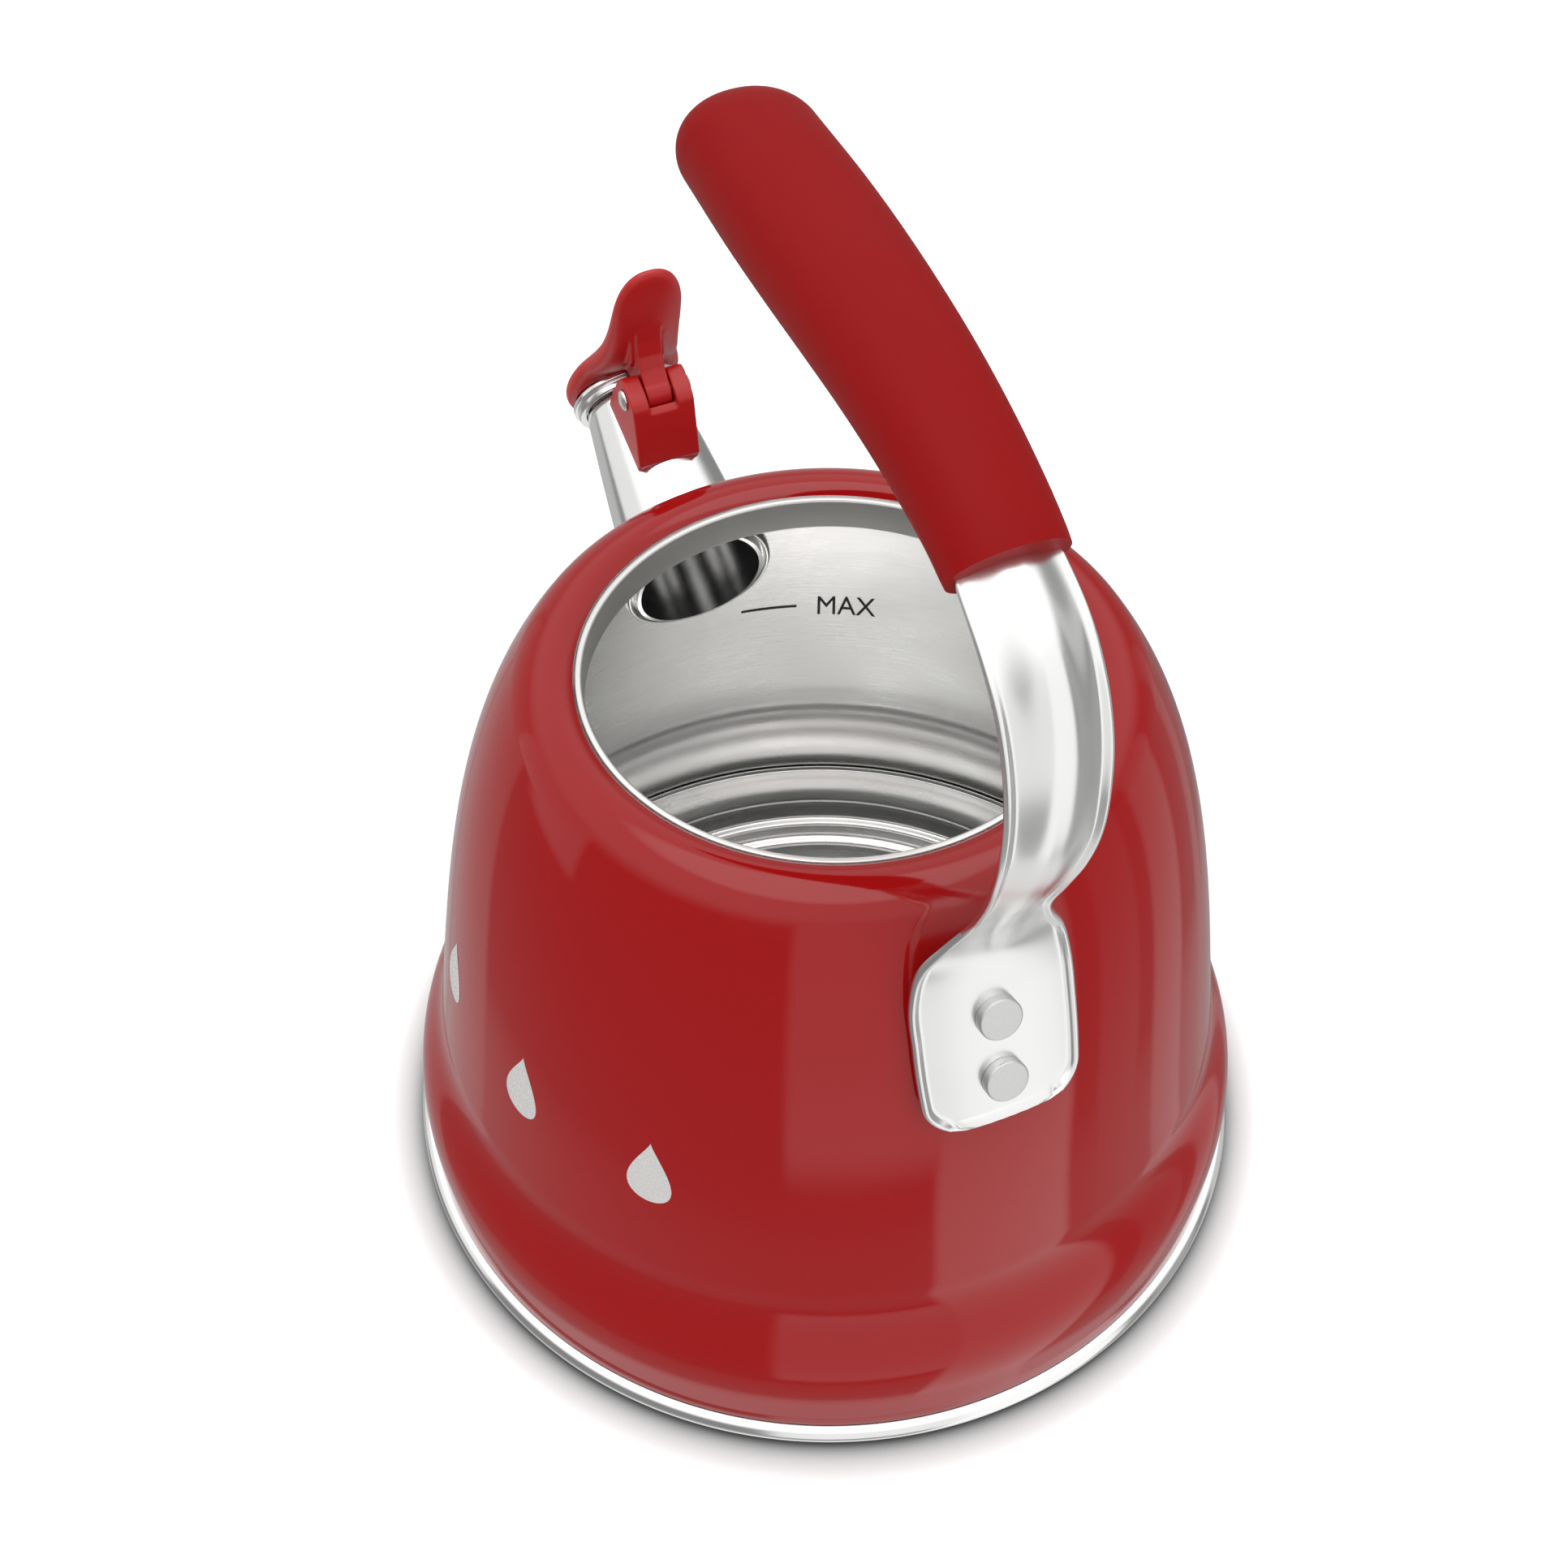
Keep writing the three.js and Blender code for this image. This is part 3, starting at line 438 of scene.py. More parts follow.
letters = bpy.data.curves.new("fill_word_text", "FONT")
letters.body = "MAX"
letters.resolution_u = 3
word = linked("fill_word_text", letters)
flat_word = evaluated(word)
bpy.data.objects.remove(word)
cut = bmesh.new()
cut.from_mesh(flat_word)
bmesh.ops.triangulate(cut, faces=cut.faces)
bmesh.ops.subdivide_edges(cut, edges=cut.edges, cuts=2, use_grid_fill=True)
cut.to_mesh(flat_word)
cut.free()
spots = [v.co.copy() for v in flat_word.vertices]
low_x, high_x = min(p.x for p in spots), max(p.x for p in spots)
low_y, high_y = min(p.y for p in spots), max(p.y for p in spots)
word_wide = math.radians(WORD_AT[0] - WORD_AT[1]) * shell_radius(MARK_Z, WALL)
flat_letters = [((p.x - low_x) / (high_x - low_x) * word_wide,
                 ((p.y - low_y) / (high_y - low_y) - 0.5) * MARK_HIGH) for p in spots]
wrapped("fill_word", flat_letters, [tuple(f.vertices) for f in flat_word.polygons],
        WORD_AT[0], MARK_Z, True, etched_mark)

line_long = math.radians(LINE_AT[0] - LINE_AT[1]) * shell_radius(MARK_Z, WALL)
flat_line = [(line_long * i / 16, side) for i in range(17) for side in (-0.5, 0.5)]
wrapped("fill_line", flat_line, [(2 * i, 2 * i + 2, 2 * i + 3, 2 * i + 1) for i in range(16)],
        LINE_AT[0], MARK_Z, True, etched_mark)


# ---- Printed drops -------------------------------------------------------------------------------
# Four plain water drops, 19 mm tall, screen-printed in pale grey ceramic ink in a row round the
# front of the shell and fired on with the enamel.

DROP_AZIMUTHS = (-49, -72.4, -96, -119.4)
DROP_Z = 84
DROP_HIGH = 19
DROP_HALF = 5.6
DROP_MIDDLE = -3.5
DROP_SIDES = 64
DROP_RINGS = 6

# Ceramic ink, fired on: opaque pale grey, glossy, with a grain that the screen leaves.
ceramic_ink, tree, surface = material("pale_ceramic_ink")
place = add(tree, "TexCoord").outputs["Object"]
ink = add(tree, "TexNoise", {"Scale": 1 / (0.5 * MM), "Detail": 2}, {0: place}).outputs["Fac"]
ink_tone = add(tree, "Mix", {"data_type": "RGBA", 6: linear("#BFBDBB"), 7: linear("#CECCCA")},
               {0: ink}).outputs[2]
ink_rough = add(tree, "MapRange", {3: 0.2, 4: 0.34}, {0: ink}).outputs[0]
shader = add(tree, "BsdfPrincipled", {"IOR": 1.52}, {"Base Color": ink_tone, "Roughness": ink_rough})
tree.links.new(shader.outputs[0], surface)

drop_edge = []
for i in range(DROP_SIDES):
    turn = 2 * math.pi * i / DROP_SIDES
    belly = DROP_HALF * 1.43 * math.sin(turn) * math.sin(turn / 2) ** 1.5
    drop_edge.append((belly, DROP_HIGH / 2 * math.cos(turn)))
drop_flat = [(0, DROP_MIDDLE)]
for k in range(1, DROP_RINGS + 1):
    share = k / DROP_RINGS
    drop_flat += [(x * share, DROP_MIDDLE + (y - DROP_MIDDLE) * share) for x, y in drop_edge]
drop_faces = [(0, 1 + i, 1 + (i + 1) % DROP_SIDES) for i in range(DROP_SIDES)]
for k in range(DROP_RINGS - 1):
    for i in range(DROP_SIDES):
        here, there = 1 + DROP_SIDES * k + i, 1 + DROP_SIDES * k + (i + 1) % DROP_SIDES
        drop_faces.append((here, here + DROP_SIDES, there + DROP_SIDES, there))
for i, azimuth in enumerate(DROP_AZIMUTHS):
    wrapped(f"printed_drop_{i + 1}", drop_flat, drop_faces, azimuth, DROP_Z, False, ceramic_ink)


# ---- Spout ---------------------------------------------------------------------------------------
# A tapered tube, hydroformed from stainless steel and polished, welded into the wall. It climbs at
# 27 degrees and narrows from 35 mm to 25 mm, and its mouth is turned to a smooth lip.

PITCH = math.radians(27)
ROOT_R = 17.6
MOUTH_R = 12.5
SPOUT_LENGTH = 49.3
SPOUT_WALL = 1
PIN_AT = 40.4
PIN_HIGH = 24.8

UP_AXIS = Vector((math.sin(PITCH), 0, math.cos(PITCH)))
SPOUT_AXIS = Vector((-math.cos(PITCH), 0, math.sin(PITCH)))
pin = Vector(frame["joints"][0]["pos_m"]) / MM
spout_start = pin - SPOUT_AXIS * PIN_AT - UP_AXIS * PIN_HIGH
spout_place = Matrix.Identity(4)
for row in range(3):
    spout_place[row][0] = UP_AXIS[row]
    spout_place[row][1] = (0, 1, 0)[row]
    spout_place[row][2] = SPOUT_AXIS[row]
    spout_place[row][3] = spout_start[row] * MM


def spout_radius(along):
    """The tube's outer radius: straight inside the wall, then a taper that steepens to the mouth."""
    return ROOT_R - (ROOT_R - MOUTH_R) * (max(0, along) / SPOUT_LENGTH) ** 1.25


def reach_wall(radius, turn, depth):
    """How far along the spout a line beside its axis meets the shell's wall at a depth."""
    near, far = -30.0, 25.0
    for _ in range(26):
        middle = (near + far) / 2
        at = spout_start + UP_AXIS * radius * math.cos(turn) + SPOUT_AXIS * middle
        across = radius * math.sin(turn)
        within = math.hypot(at.x, across) < shell_radius(at.z) - depth
        near, far = (middle, far) if within else (near, middle)
    return near


SPOUT_SIDES = 128
points = []
lip = [(SPOUT_LENGTH - 0.5, 0), (SPOUT_LENGTH - 0.15, -0.15), (SPOUT_LENGTH, -0.5),
       (SPOUT_LENGTH - 0.15, -0.85), (SPOUT_LENGTH - 0.5, -1)]
for i in range(SPOUT_SIDES):
    turn = 2 * math.pi * i / SPOUT_SIDES
    start = reach_wall(ROOT_R, turn, WALL + 2.6)
    outer = [(start + (SPOUT_LENGTH - 0.5 - start) * k / 28, 0) for k in range(28)]
    inner = [(along, -SPOUT_WALL) for along, _ in outer[::-1]]
    for along, inset in outer + lip + inner:
        radius = spout_radius(along) + inset
        points.append((radius * math.cos(turn), radius * math.sin(turn), along))
piece("spout_tube_polished", points, ring_faces(SPOUT_SIDES, len(points) // SPOUT_SIDES),
      [polished_stainless], "kettle", ["spout_tube"], spout_place, sharp=60)


def carve(target, tool):
    """Cuts a cutter's shape out of a piece, and removes the cutter."""
    hole = target.modifiers.new("cut", "BOOLEAN")
    hole.operation = "DIFFERENCE"
    hole.solver = "EXACT"
    hole.object = tool
    made = evaluated(target)
    target.modifiers.remove(hole)
    target.data = made
    bpy.data.objects.remove(tool)


def cutter(shape, place):
    """A shape set at a place, to cut with."""
    mesh = bpy.data.meshes.new("cutter")
    shape.to_mesh(mesh)
    shape.free()
    made = linked("cutter", mesh)
    made.matrix_world = place
    return made


def cutter_rod(radius, low, high, place, sides=96):
    """A plain rod about the Z axis of a place, in millimetres, to cut with."""
    rod = bmesh.new()
    bmesh.ops.create_cone(rod, cap_ends=True, segments=sides, radius1=radius * MM, radius2=radius * MM,
                          depth=(high - low) * MM, matrix=Matrix.Translation((0, 0, (low + high) / 2 * MM)))
    return cutter(rod, place)


carve(shell, cutter_rod(ROOT_R - 0.2, -30, 20, spout_place))


# ---- Spout flange --------------------------------------------------------------------------------
# The bright rolled ring where the tube's inner end is flared over the wall: a bead 2.6 mm wide, a
# fine groove, and a second narrow lip before the dark bore.

FLANGE_SIDES = 128
FLANGE = [
    (20.2, -0.6), (20.2, 0.3), (20.1, 0.9), (19.7, 1.5), (19.3, 1.7), (18.9, 1.5), (18.6, 0.9), (18.5, -0.2),
    (18.1, -0.3), (17.95, 0.9), (17.6, 1.3), (17.2, 1.2), (16.85, 0.7), (16.7, -0.4), (16.7, -3), (17.5, -3),
    (17.8, -0.9),
]
points = []
for i in range(FLANGE_SIDES):
    turn = 2 * math.pi * i / FLANGE_SIDES
    for radius, lift in FLANGE:
        along = reach_wall(radius, turn, WALL) - lift
        points.append((radius * math.cos(turn), radius * math.sin(turn), along))
piece("spout_flange_rolled", points, ring_faces(FLANGE_SIDES, len(FLANGE)), [polished_stainless], "kettle",
      ["spout_flange"], spout_place, sharp=70)


# ---- Hinge bracket -------------------------------------------------------------------------------
# Red nylon, injection moulded: a saddle with triangular cheeks on top of the tube, and two ears
# 4.6 mm thick for the pin. A steel stud welded to the tube keys it in place.

BRACKET_HALF = 8.3
SLOT_HALF = 3.7
SLOT_FLOOR = 18.6
FOOT, FACE, BACK = 25.3, 35.5, 47.2
BRACKET_TOP = PIN_HIGH + 4.5

# Nylon from a spark-eroded mould: a satin skin with a fine grain, and faint drifts where it flowed.
moulded_nylon, tree, surface = material("moulded_red_nylon")
place = add(tree, "TexCoord").outputs["Object"]
spark = add(tree, "TexNoise", {"Scale": 1 / (0.35 * MM), "Detail": 3}, {0: place}).outputs["Fac"]
flow = add(tree, "TexNoise", {"Scale": 1 / (14 * MM), "Detail": 2}, {0: place}).outputs["Fac"]
nylon_tone = add(tree, "Mix", {"data_type": "RGBA", 6: linear("#AA1617"), 7: linear("#B21A1A")}, {0: flow})
nylon_rough = add(tree, "MapRange", {3: 0.3, 4: 0.44}, {0: spark}).outputs[0]
nylon_skin = add(tree, "Bump", {"Strength": 0.25, "Distance": 0.02 * MM}, {"Height": spark}).outputs[0]
shader = add(tree, "BsdfPrincipled", {"IOR": 1.53, "Specular IOR Level": 0.4},
             {"Base Color": nylon_tone.outputs[2], "Roughness": nylon_rough, "Normal": nylon_skin})
tree.links.new(shader.outputs[0], surface)


def prism(outline, half):
    """Points and faces of an (up, along) outline pushed through a half width either side."""
    count = len(outline)
    points = [(up, side * half, along) for side in (-1, 1) for up, along in outline]
    faces = [tuple(range(count))[::-1], tuple(range(count, 2 * count))]
    faces += [(k, (k + 1) % count, count + (k + 1) % count, count + k) for k in range(count)]
    return points, faces


def moulding(name, shells, body, nodes, grain_mm, smoothing):
    """Closed shells fused into one moulding, with every edge and inner corner softened."""
    points, faces = [], []
    for shell_points, shell_faces in shells:
        faces += [tuple(len(points) + k for k in face) for face in shell_faces]
        points += shell_points
    made = piece(name, points, faces, [moulded_nylon], body, nodes, spout_place)
    fuse = made.modifiers.new("fuse", "REMESH")
    fuse.mode = "VOXEL"
    fuse.voxel_size = grain_mm * MM
    fuse.use_smooth_shade = True
    soften = made.modifiers.new("soften", "SMOOTH")
    soften.factor = 0.5
    soften.iterations = smoothing
    fused = evaluated(made)
    made.modifiers.clear()
    made.data = fused
    if not fused.materials:
        fused.materials.append(moulded_nylon)
    fused.shade_smooth()
    return made


saddle_block = prism([(8, FACE), (SLOT_FLOOR, FACE), (SLOT_FLOOR, BACK), (8, BACK)], BRACKET_HALF)
ear_outline = rounded([
    (15.6, FOOT, 0), (BRACKET_TOP - 0.6, FACE - 0.4, 1.6), (BRACKET_TOP, FACE + 3, 1.2),
    (BRACKET_TOP, BACK - 3, 1.6), (BRACKET_TOP - 3.4, BACK - 1.4, 1.6), (15, BACK, 0.6),
])
ears = []
for side in (-1, 1):
    ear_points, ear_faces = prism(ear_outline, (BRACKET_HALF - SLOT_HALF) / 2)
    shift = side * (BRACKET_HALF + SLOT_HALF) / 2
    ears.append(([(up, across + shift, along) for up, across, along in ear_points], ear_faces))
front_block = prism([
    (8, FOOT), (15.6, FOOT), (BRACKET_TOP - 2.6, FACE - 1.9), (BRACKET_TOP - 2.2, FACE + 0.2),
    (8, FACE + 0.2),
], BRACKET_HALF)
bracket = moulding("hinge_bracket_moulding", [saddle_block, front_block, *ears], "kettle",
                   ["hinge_bracket"], 0.28, 5)

SADDLE_AIR = 0.12
SADDLE_SIDES = 96
SADDLE_RINGS = 12
cone = bmesh.new()
rings = []
for k in range(SADDLE_RINGS + 1):
    along = -2 + (SPOUT_LENGTH + 6) * k / SADDLE_RINGS
    radius = spout_radius(along) + SADDLE_AIR
    ring = []
    for i in range(SADDLE_SIDES):
        turn = 2 * math.pi * i / SADDLE_SIDES
        ring.append(cone.verts.new((radius * math.cos(turn) * MM, radius * math.sin(turn) * MM, along * MM)))
    rings.append(ring)
for low_ring, high_ring in zip(rings, rings[1:]):
    for i in range(SADDLE_SIDES):
        after = (i + 1) % SADDLE_SIDES
        cone.faces.new((low_ring[i], low_ring[after], high_ring[after], high_ring[i]))
cone.faces.new(rings[0][::-1])
cone.faces.new(rings[-1])
carve(bracket, cutter(cone, spout_place))
shade(bracket.data, 50)


# ---- Hinge pin, stud and return spring -----------------------------------------------------------
# The pin is a turned steel rod whose ends are headed into polished domes, 5.6 mm across.
# The stud is hidden in the bracket. The spring is two turns of 0.6 mm wire inside the knuckle.

PIN_R = 1.5
HEAD_R = 2.8

pin_place = spout_place @ Matrix.Translation((PIN_HIGH * MM, 0, PIN_AT * MM))
pin_place = pin_place @ Matrix.Rotation(-math.pi / 2, 4, "X")
seat = BRACKET_HALF + 0.05
dome = [(PIN_R, seat), (HEAD_R - 0.15, seat), (HEAD_R, seat + 0.2)]
for i in range(1, 12):
    lean = math.pi * i / 24
    dome.append((HEAD_R * math.cos(lean), seat + 0.2 + math.sin(lean)))
dome.append((0.01, seat + 1.2))
far_dome = [(r, -z) for r, z in dome[::-1]]
turned("hinge_pin_headed", far_dome + dome, 64, [polished_stainless], "kettle",
       ["hinge_pin"], pin_place)

# Wire drawn through a die: dark grey, with its fine marks running round it.
drawn_wire = brushed_steel("drawn_spring_wire", "#8E8E90", "#717173", rough=0.3, spread=0.06,
                           depth_mm=0.01, anisotropic=0)
refinish("return_spring", drawn_wire)
refinish("bracket_stud", brushed_inside)


# ---- Whistle cup, discs and seal -----------------------------------------------------------------
# The cup is turned from stainless steel, with a grooved rim that shows below the red cap. Two thin
# discs inside it, each with a small hole, make the note, and a silicone ring seals it on the mouth.

CUP_R = 15.2
CUP_BACK = SPOUT_LENGTH + 0.3
CUP_FRONT = 53.2
SEAT_R = 12.5
BARREL_R = 13.5
DISC_R = 12.1
DISC_HOLE_R = 1.6
DISC_SHEET = 0.8

turned("whistle_cup_turned", rounded([
    (SEAT_R, CUP_BACK, 0.2), (CUP_R - 0.9, CUP_BACK, 0.4), (CUP_R - 0.7, 51.15, 0.2),
    (CUP_R - 1.3, 51.35, 0.1), (CUP_R - 1.3, 51.6, 0.1), (CUP_R, 51.8, 0.3), (CUP_R, CUP_FRONT, 0.4),
    (BARREL_R, CUP_FRONT, 0.2), (BARREL_R, 57.2, 0.3), (10.6, 57.2, 0.2), (10.6, 56.4, 0.2),
    (SEAT_R, 56.4, 0.2),
]), 128, [polished_stainless], "whistle", ["whistle_cup"], spout_place, sharp=50)

for name, low, node in (("inner", 50.3, "whistle_inner_disc"), ("outer", 55.3, "whistle_outer_disc")):
    turned(f"whistle_disc_{name}", rounded([
        (DISC_HOLE_R, low, 0.15), (DISC_R, low, 0.15), (DISC_R, low + DISC_SHEET, 0.15),
        (DISC_HOLE_R, low + DISC_SHEET, 0.15)]),
        96, [spun_stainless], "whistle", [node], spout_place)

# Food-grade silicone, moulded: milky, soft at its edges and a little dusty.
seal_silicone, tree, surface = material("white_silicone")
place = add(tree, "TexCoord").outputs["Object"]
dust = add(tree, "TexNoise", {"Scale": 1 / (0.8 * MM), "Detail": 2}, {0: place}).outputs["Fac"]
seal_tone = add(tree, "Mix", {"data_type": "RGBA", 6: linear("#D8D7D1"), 7: linear("#E4E3DE")},
                {0: dust}).outputs[2]
seal_bump = add(tree, "Bump", {"Strength": 0.2, "Distance": 0.02 * MM}, {"Height": dust}).outputs[0]
shader = add(tree, "BsdfPrincipled", {"Roughness": 0.5, "IOR": 1.41, "Subsurface Weight": 0.15,
             "Subsurface Radius": (0.001, 0.001, 0.001)}, {"Base Color": seal_tone, "Normal": seal_bump})
tree.links.new(shader.outputs[0], surface)
turned("whistle_seal_ring", rounded([
    (8.8, 48.2, 0.4), (10.3, 48.2, 0.3), (10.7, 48.8, 0.3), (10.7, 50, 0.2), (8.8, 50, 0.2)]),
    96, [seal_silicone], "whistle", ["whistle_seal"], spout_place)


# ---- Whistle cap ---------------------------------------------------------------------------------
# Red nylon, moulded in one: a round skirt over the cup, a tall thumb paddle with a round tip, and a
# tongue 6.6 mm wide that runs down between the ears to the pin. Soft fillets join the three.

PADDLE = [  # height, half width, back, front: the paddle's sections from the skirt up to its tip
    (-15.5, 1.5, 53.9, 56.2), (-15, 4.3, 53.6, 57.2), (-13, 8.6, 53.5, 58.6), (-9, 12.7, 53.5, 60),
    (-4, 15.1, 53.5, 61), (0, 15.6, 53.5, 61.2), (5, 15.3, 53.5, 61.1), (10, 14.3, 53.5, 60.6),
    (14.5, 13.1, 53, 59.8), (18, 12.3, 51.6, 59), (23, 11.3, 50.3, 57.8), (29, 10.3, 49.8, 56.6),
    (36, 9.6, 50, 56), (43, 9.2, 50.8, 56), (49, 8.7, 51.8, 56.3), (53.5, 7.5, 52.8, 56.8),
    (56.8, 5.5, 53.8, 57), (58.5, 3.2, 54.7, 56.8), (59.1, 1, 55.3, 56.3),
]


def through(rows, count):
    """A smooth run of rows through the given ones, evenly spaced along their first two columns."""
    rows = np.array(rows, float)
    gaps = np.linalg.norm(np.diff(rows[:, :2], axis=0), axis=1)
    at = np.concatenate([[0], np.cumsum(gaps)])
    slope = np.gradient(rows, at, axis=0)
    made = []
    for s in np.linspace(0, at[-1], count):
        k = min(int(np.searchsorted(at, s, side="right")) - 1, len(at) - 2)
        h = at[k + 1] - at[k]
        t = (s - at[k]) / h
        made.append((2 * t ** 3 - 3 * t ** 2 + 1) * rows[k] + (t ** 3 - 2 * t ** 2 + t) * h * slope[k]
                    + (3 * t ** 2 - 2 * t ** 3) * rows[k + 1] + (t ** 3 - t ** 2) * h * slope[k + 1])
    return made


def loft(rings):
    """Points and faces of rings joined in order and closed at both ends."""
    count = len(rings[0])
    points = [p for ring in rings for p in ring]
    faces = [tuple(range(count))[::-1], tuple(range(len(points) - count, len(points)))]
    for j in range(len(rings) - 1):
        for k in range(count):
            here, after = j * count + k, j * count + (k + 1) % count
            faces.append((here, after, after + count, here + count))
    return points, faces


def squared_oval(sides, power):
    """Points of an oval one unit in half width and height, made squarer by a power below 1."""
    oval = []
    for i in range(sides):
        c, s = math.cos(2 * math.pi * i / sides), math.sin(2 * math.pi * i / sides)
        oval.append((math.copysign(abs(c) ** power, c), math.copysign(abs(s) ** power, s)))
    return oval


cap_rings = []
for high, half, back, front in through(PADDLE, 90):
    middle, thick = (back + front) / 2, (front - back) / 2
    cap_rings.append([(high, half * c, middle + thick * s) for c, s in squared_oval(64, 0.72)])

KNUCKLE_R = 4.4
VENT_R = 7.5
knuckle = [(PIN_HIGH + KNUCKLE_R * math.cos(math.pi + math.pi * i / 24),
            PIN_AT + KNUCKLE_R * math.sin(math.pi + math.pi * i / 24)) for i in range(25)]
knuckle += [(30.6, 43.6), (33.2, 46.6), (37, 49), (42, 50.9), (42, 52.4), (18, 52.6), (19.8, 49)]
tongue = prism(knuckle, SLOT_HALF - 0.4)
web = prism([(27, 47.6), (30.4, 47.4), (34, 49), (38.5, 50.4), (38.5, 52), (24, 52)], SLOT_HALF + 0.9)
cap = moulding("whistle_cap_moulding", [loft(cap_rings), tongue, web], "whistle",
               ["whistle_cap"], 0.3, 12)
carve(cap, cutter_rod(BARREL_R + 0.3, 45, 57.6, spout_place))
carve(cap, cutter_rod(VENT_R, 45, 70, spout_place))
carve(cap, cutter_rod(PIN_R + 0.15, -12, 12, pin_place, 48))
shade(cap.data, 50)


# ---- Handle strap --------------------------------------------------------------------------------
# One stainless pressing, 1.4 mm thick, polished to a soft satin. It leaves the grip almost as a half
# tube, keeps a raised edge down to its waist, and spreads into a dished plate 38 mm wide.

STRAP_SHEET = 1.4

# Stainless steel polished to a satin: bright, with reflections melted into soft bands of grey.
satin_stainless, tree, surface = material("satin_stainless")
place = add(tree, "TexCoord").outputs["Object"]
polish = add(tree, "TexNoise", {"Scale": 1 / (0.4 * MM), "Detail": 3}, {0: place}).outputs["Fac"]
worn = add(tree, "TexNoise", {"Scale": 1 / (18 * MM), "Detail": 2}, {0: place}).outputs["Fac"]
satin_tone = add(tree, "Mix", {"data_type": "RGBA", 6: linear("#E9E9E8"), 7: linear("#F2F2F1")},
                 {0: worn}).outputs[2]
satin_rough = add(tree, "MapRange", {1: 0.3, 2: 0.7, 3: 0.22, 4: 0.28}, {0: worn}).outputs[0]
satin_skin = add(tree, "Bump", {"Strength": 0.12, "Distance": 0.01 * MM}, {"Height": polish}).outputs[0]
shader = add(tree, "BsdfPrincipled", {"Metallic": 1},
             {"Base Color": satin_tone, "Roughness": satin_rough, "Normal": satin_skin})
tree.links.new(shader.outputs[0], surface)

STRAP = [  # x, z, half width, crown, rim
    (-36, 263.6, 5.6, 0, 0), (-5, 262.4, 6.2, 0, 0), (27, 259.7, 6.2, 0, 0), (49.5, 255.6, 6.4, 0.3, 0),
    (62.5, 251.6, 9.6, 1.4, 0), (73, 246.6, 10.6, 3.6, 0), (82.3, 240.6, 11, 4, 0.2),
    (89.2, 232.5, 11, 3.4, 0.6), (93.4, 223, 10.9, 2.7, 0.9), (95.3, 212.3, 10.7, 2.3, 1),
    (95.2, 200.6, 10.6, 2.1, 1), (92.6, 189, 10.1, 1.9, 1), (88.6, 178, 9.2, 1.6, 1),
    (84.6, 168.6, 9.1, 1.3, 1), (81.4, 159.5, 12.3, 1, 1.1), (80, 150.5, 16.6, 0.6, 1.3),
    (81.4, 141, 18.7, 0.25, 1.5), (84.8, 131, 19, 0, 1.5), (88.9, 119, 18.8, 0, 1.5),
    (91.3, 112, 18.2, 0, 1.5), (92.5, 108.6, 17.6, 0, 1.5),
]
CORNER_R = 7.5
RIM_WIDE = 2.4
ROWS = 260
WRAP_TOP_Z = 170
WRAP_BLEND = 22
WRAP_ROUND = 175

rows = through(STRAP, ROWS)
steps = [0.0]
for before, after in zip(rows, rows[1:]):
    steps.append(steps[-1] + math.hypot(after[0] - before[0], after[1] - before[1]))
total = steps[-1]
halves = []
for at, row in zip(steps, rows):
    corner = max(0.0, CORNER_R - (total - at))
    halves.append(row[2] - CORNER_R + math.sqrt(max(0.0, CORNER_R ** 2 - corner ** 2)))

END_POINTS = 24
edge_s = np.array(steps + [total] * END_POINTS)
edge_y = np.array(halves + [halves[-1] * k / END_POINTS for k in range(END_POINTS)])


def smooth(value, low, high):
    """0 below low and 1 above high, with a soft step between."""
    t = min(1.0, max(0.0, (value - low) / (high - low)))
    return t * t * (3 - 2 * t)


def strap_height(at, y, half, crown, rim):
    """How far the strap's middle surface stands out at a distance along it and across it."""
    share = abs(y) / half
    dome = crown * (1 - smooth(share, 0.1, 0.95))
    edge = float(np.sqrt(np.min((edge_s - at) ** 2 + (edge_y - abs(y)) ** 2)))
    bead = smooth(RIM_WIDE - edge, 0, RIM_WIDE * 0.72) * (1 - 0.25 * smooth(0.7 - edge, 0, 0.7))
    return dome + rim * bead


ACROSS = 48
shares = [-math.cos(math.pi * k / ACROSS) * 0.35 + (2 * k / ACROSS - 1) * 0.65 for k in range(ACROSS + 1)]
strap_rings = []
for j, (at, row) in enumerate(zip(steps, rows)):
    before, after = rows[max(j - 1, 0)], rows[min(j + 1, ROWS - 1)]
    along = Vector((after[0] - before[0], 0, after[1] - before[1])).normalized()
    out = Vector((-along.z, 0, along.x))
    wrap = smooth(WRAP_TOP_Z - row[1], 0, WRAP_BLEND) / WRAP_ROUND
    ring = []
    for side in (1, -1):
        for share in shares[::side]:
            y = share * halves[j]
            raised = strap_height(at, y, halves[j], row[3], row[4]) - wrap * y * y
            thin = 0.5 - 0.16 * smooth(abs(share), 0.985, 1)
            spot = Vector((row[0], 0, row[1])) + out * (raised + side * thin * STRAP_SHEET)
            ring.append((spot.x, y, spot.z))
    strap_rings.append(ring)
points, faces = loft(strap_rings)
piece("handle_strap_pressing", points, faces, [satin_stainless], "kettle",
      ["handle_strap"], sharp=62)


# ---- Rivets and washers --------------------------------------------------------------------------
# Two solid stainless rivets with flat 10 mm heads, left satin from tumbling, closed over washers
# inside the kettle.

RIVET_PITCH = math.radians(19.5)
RIVETS = {"upper": (83.8, 133.4), "lower": (89.1, 118.1)}
RIVET_HEAD_R = 5
SHANK_R = 2.5
WASHER_R = 6.2

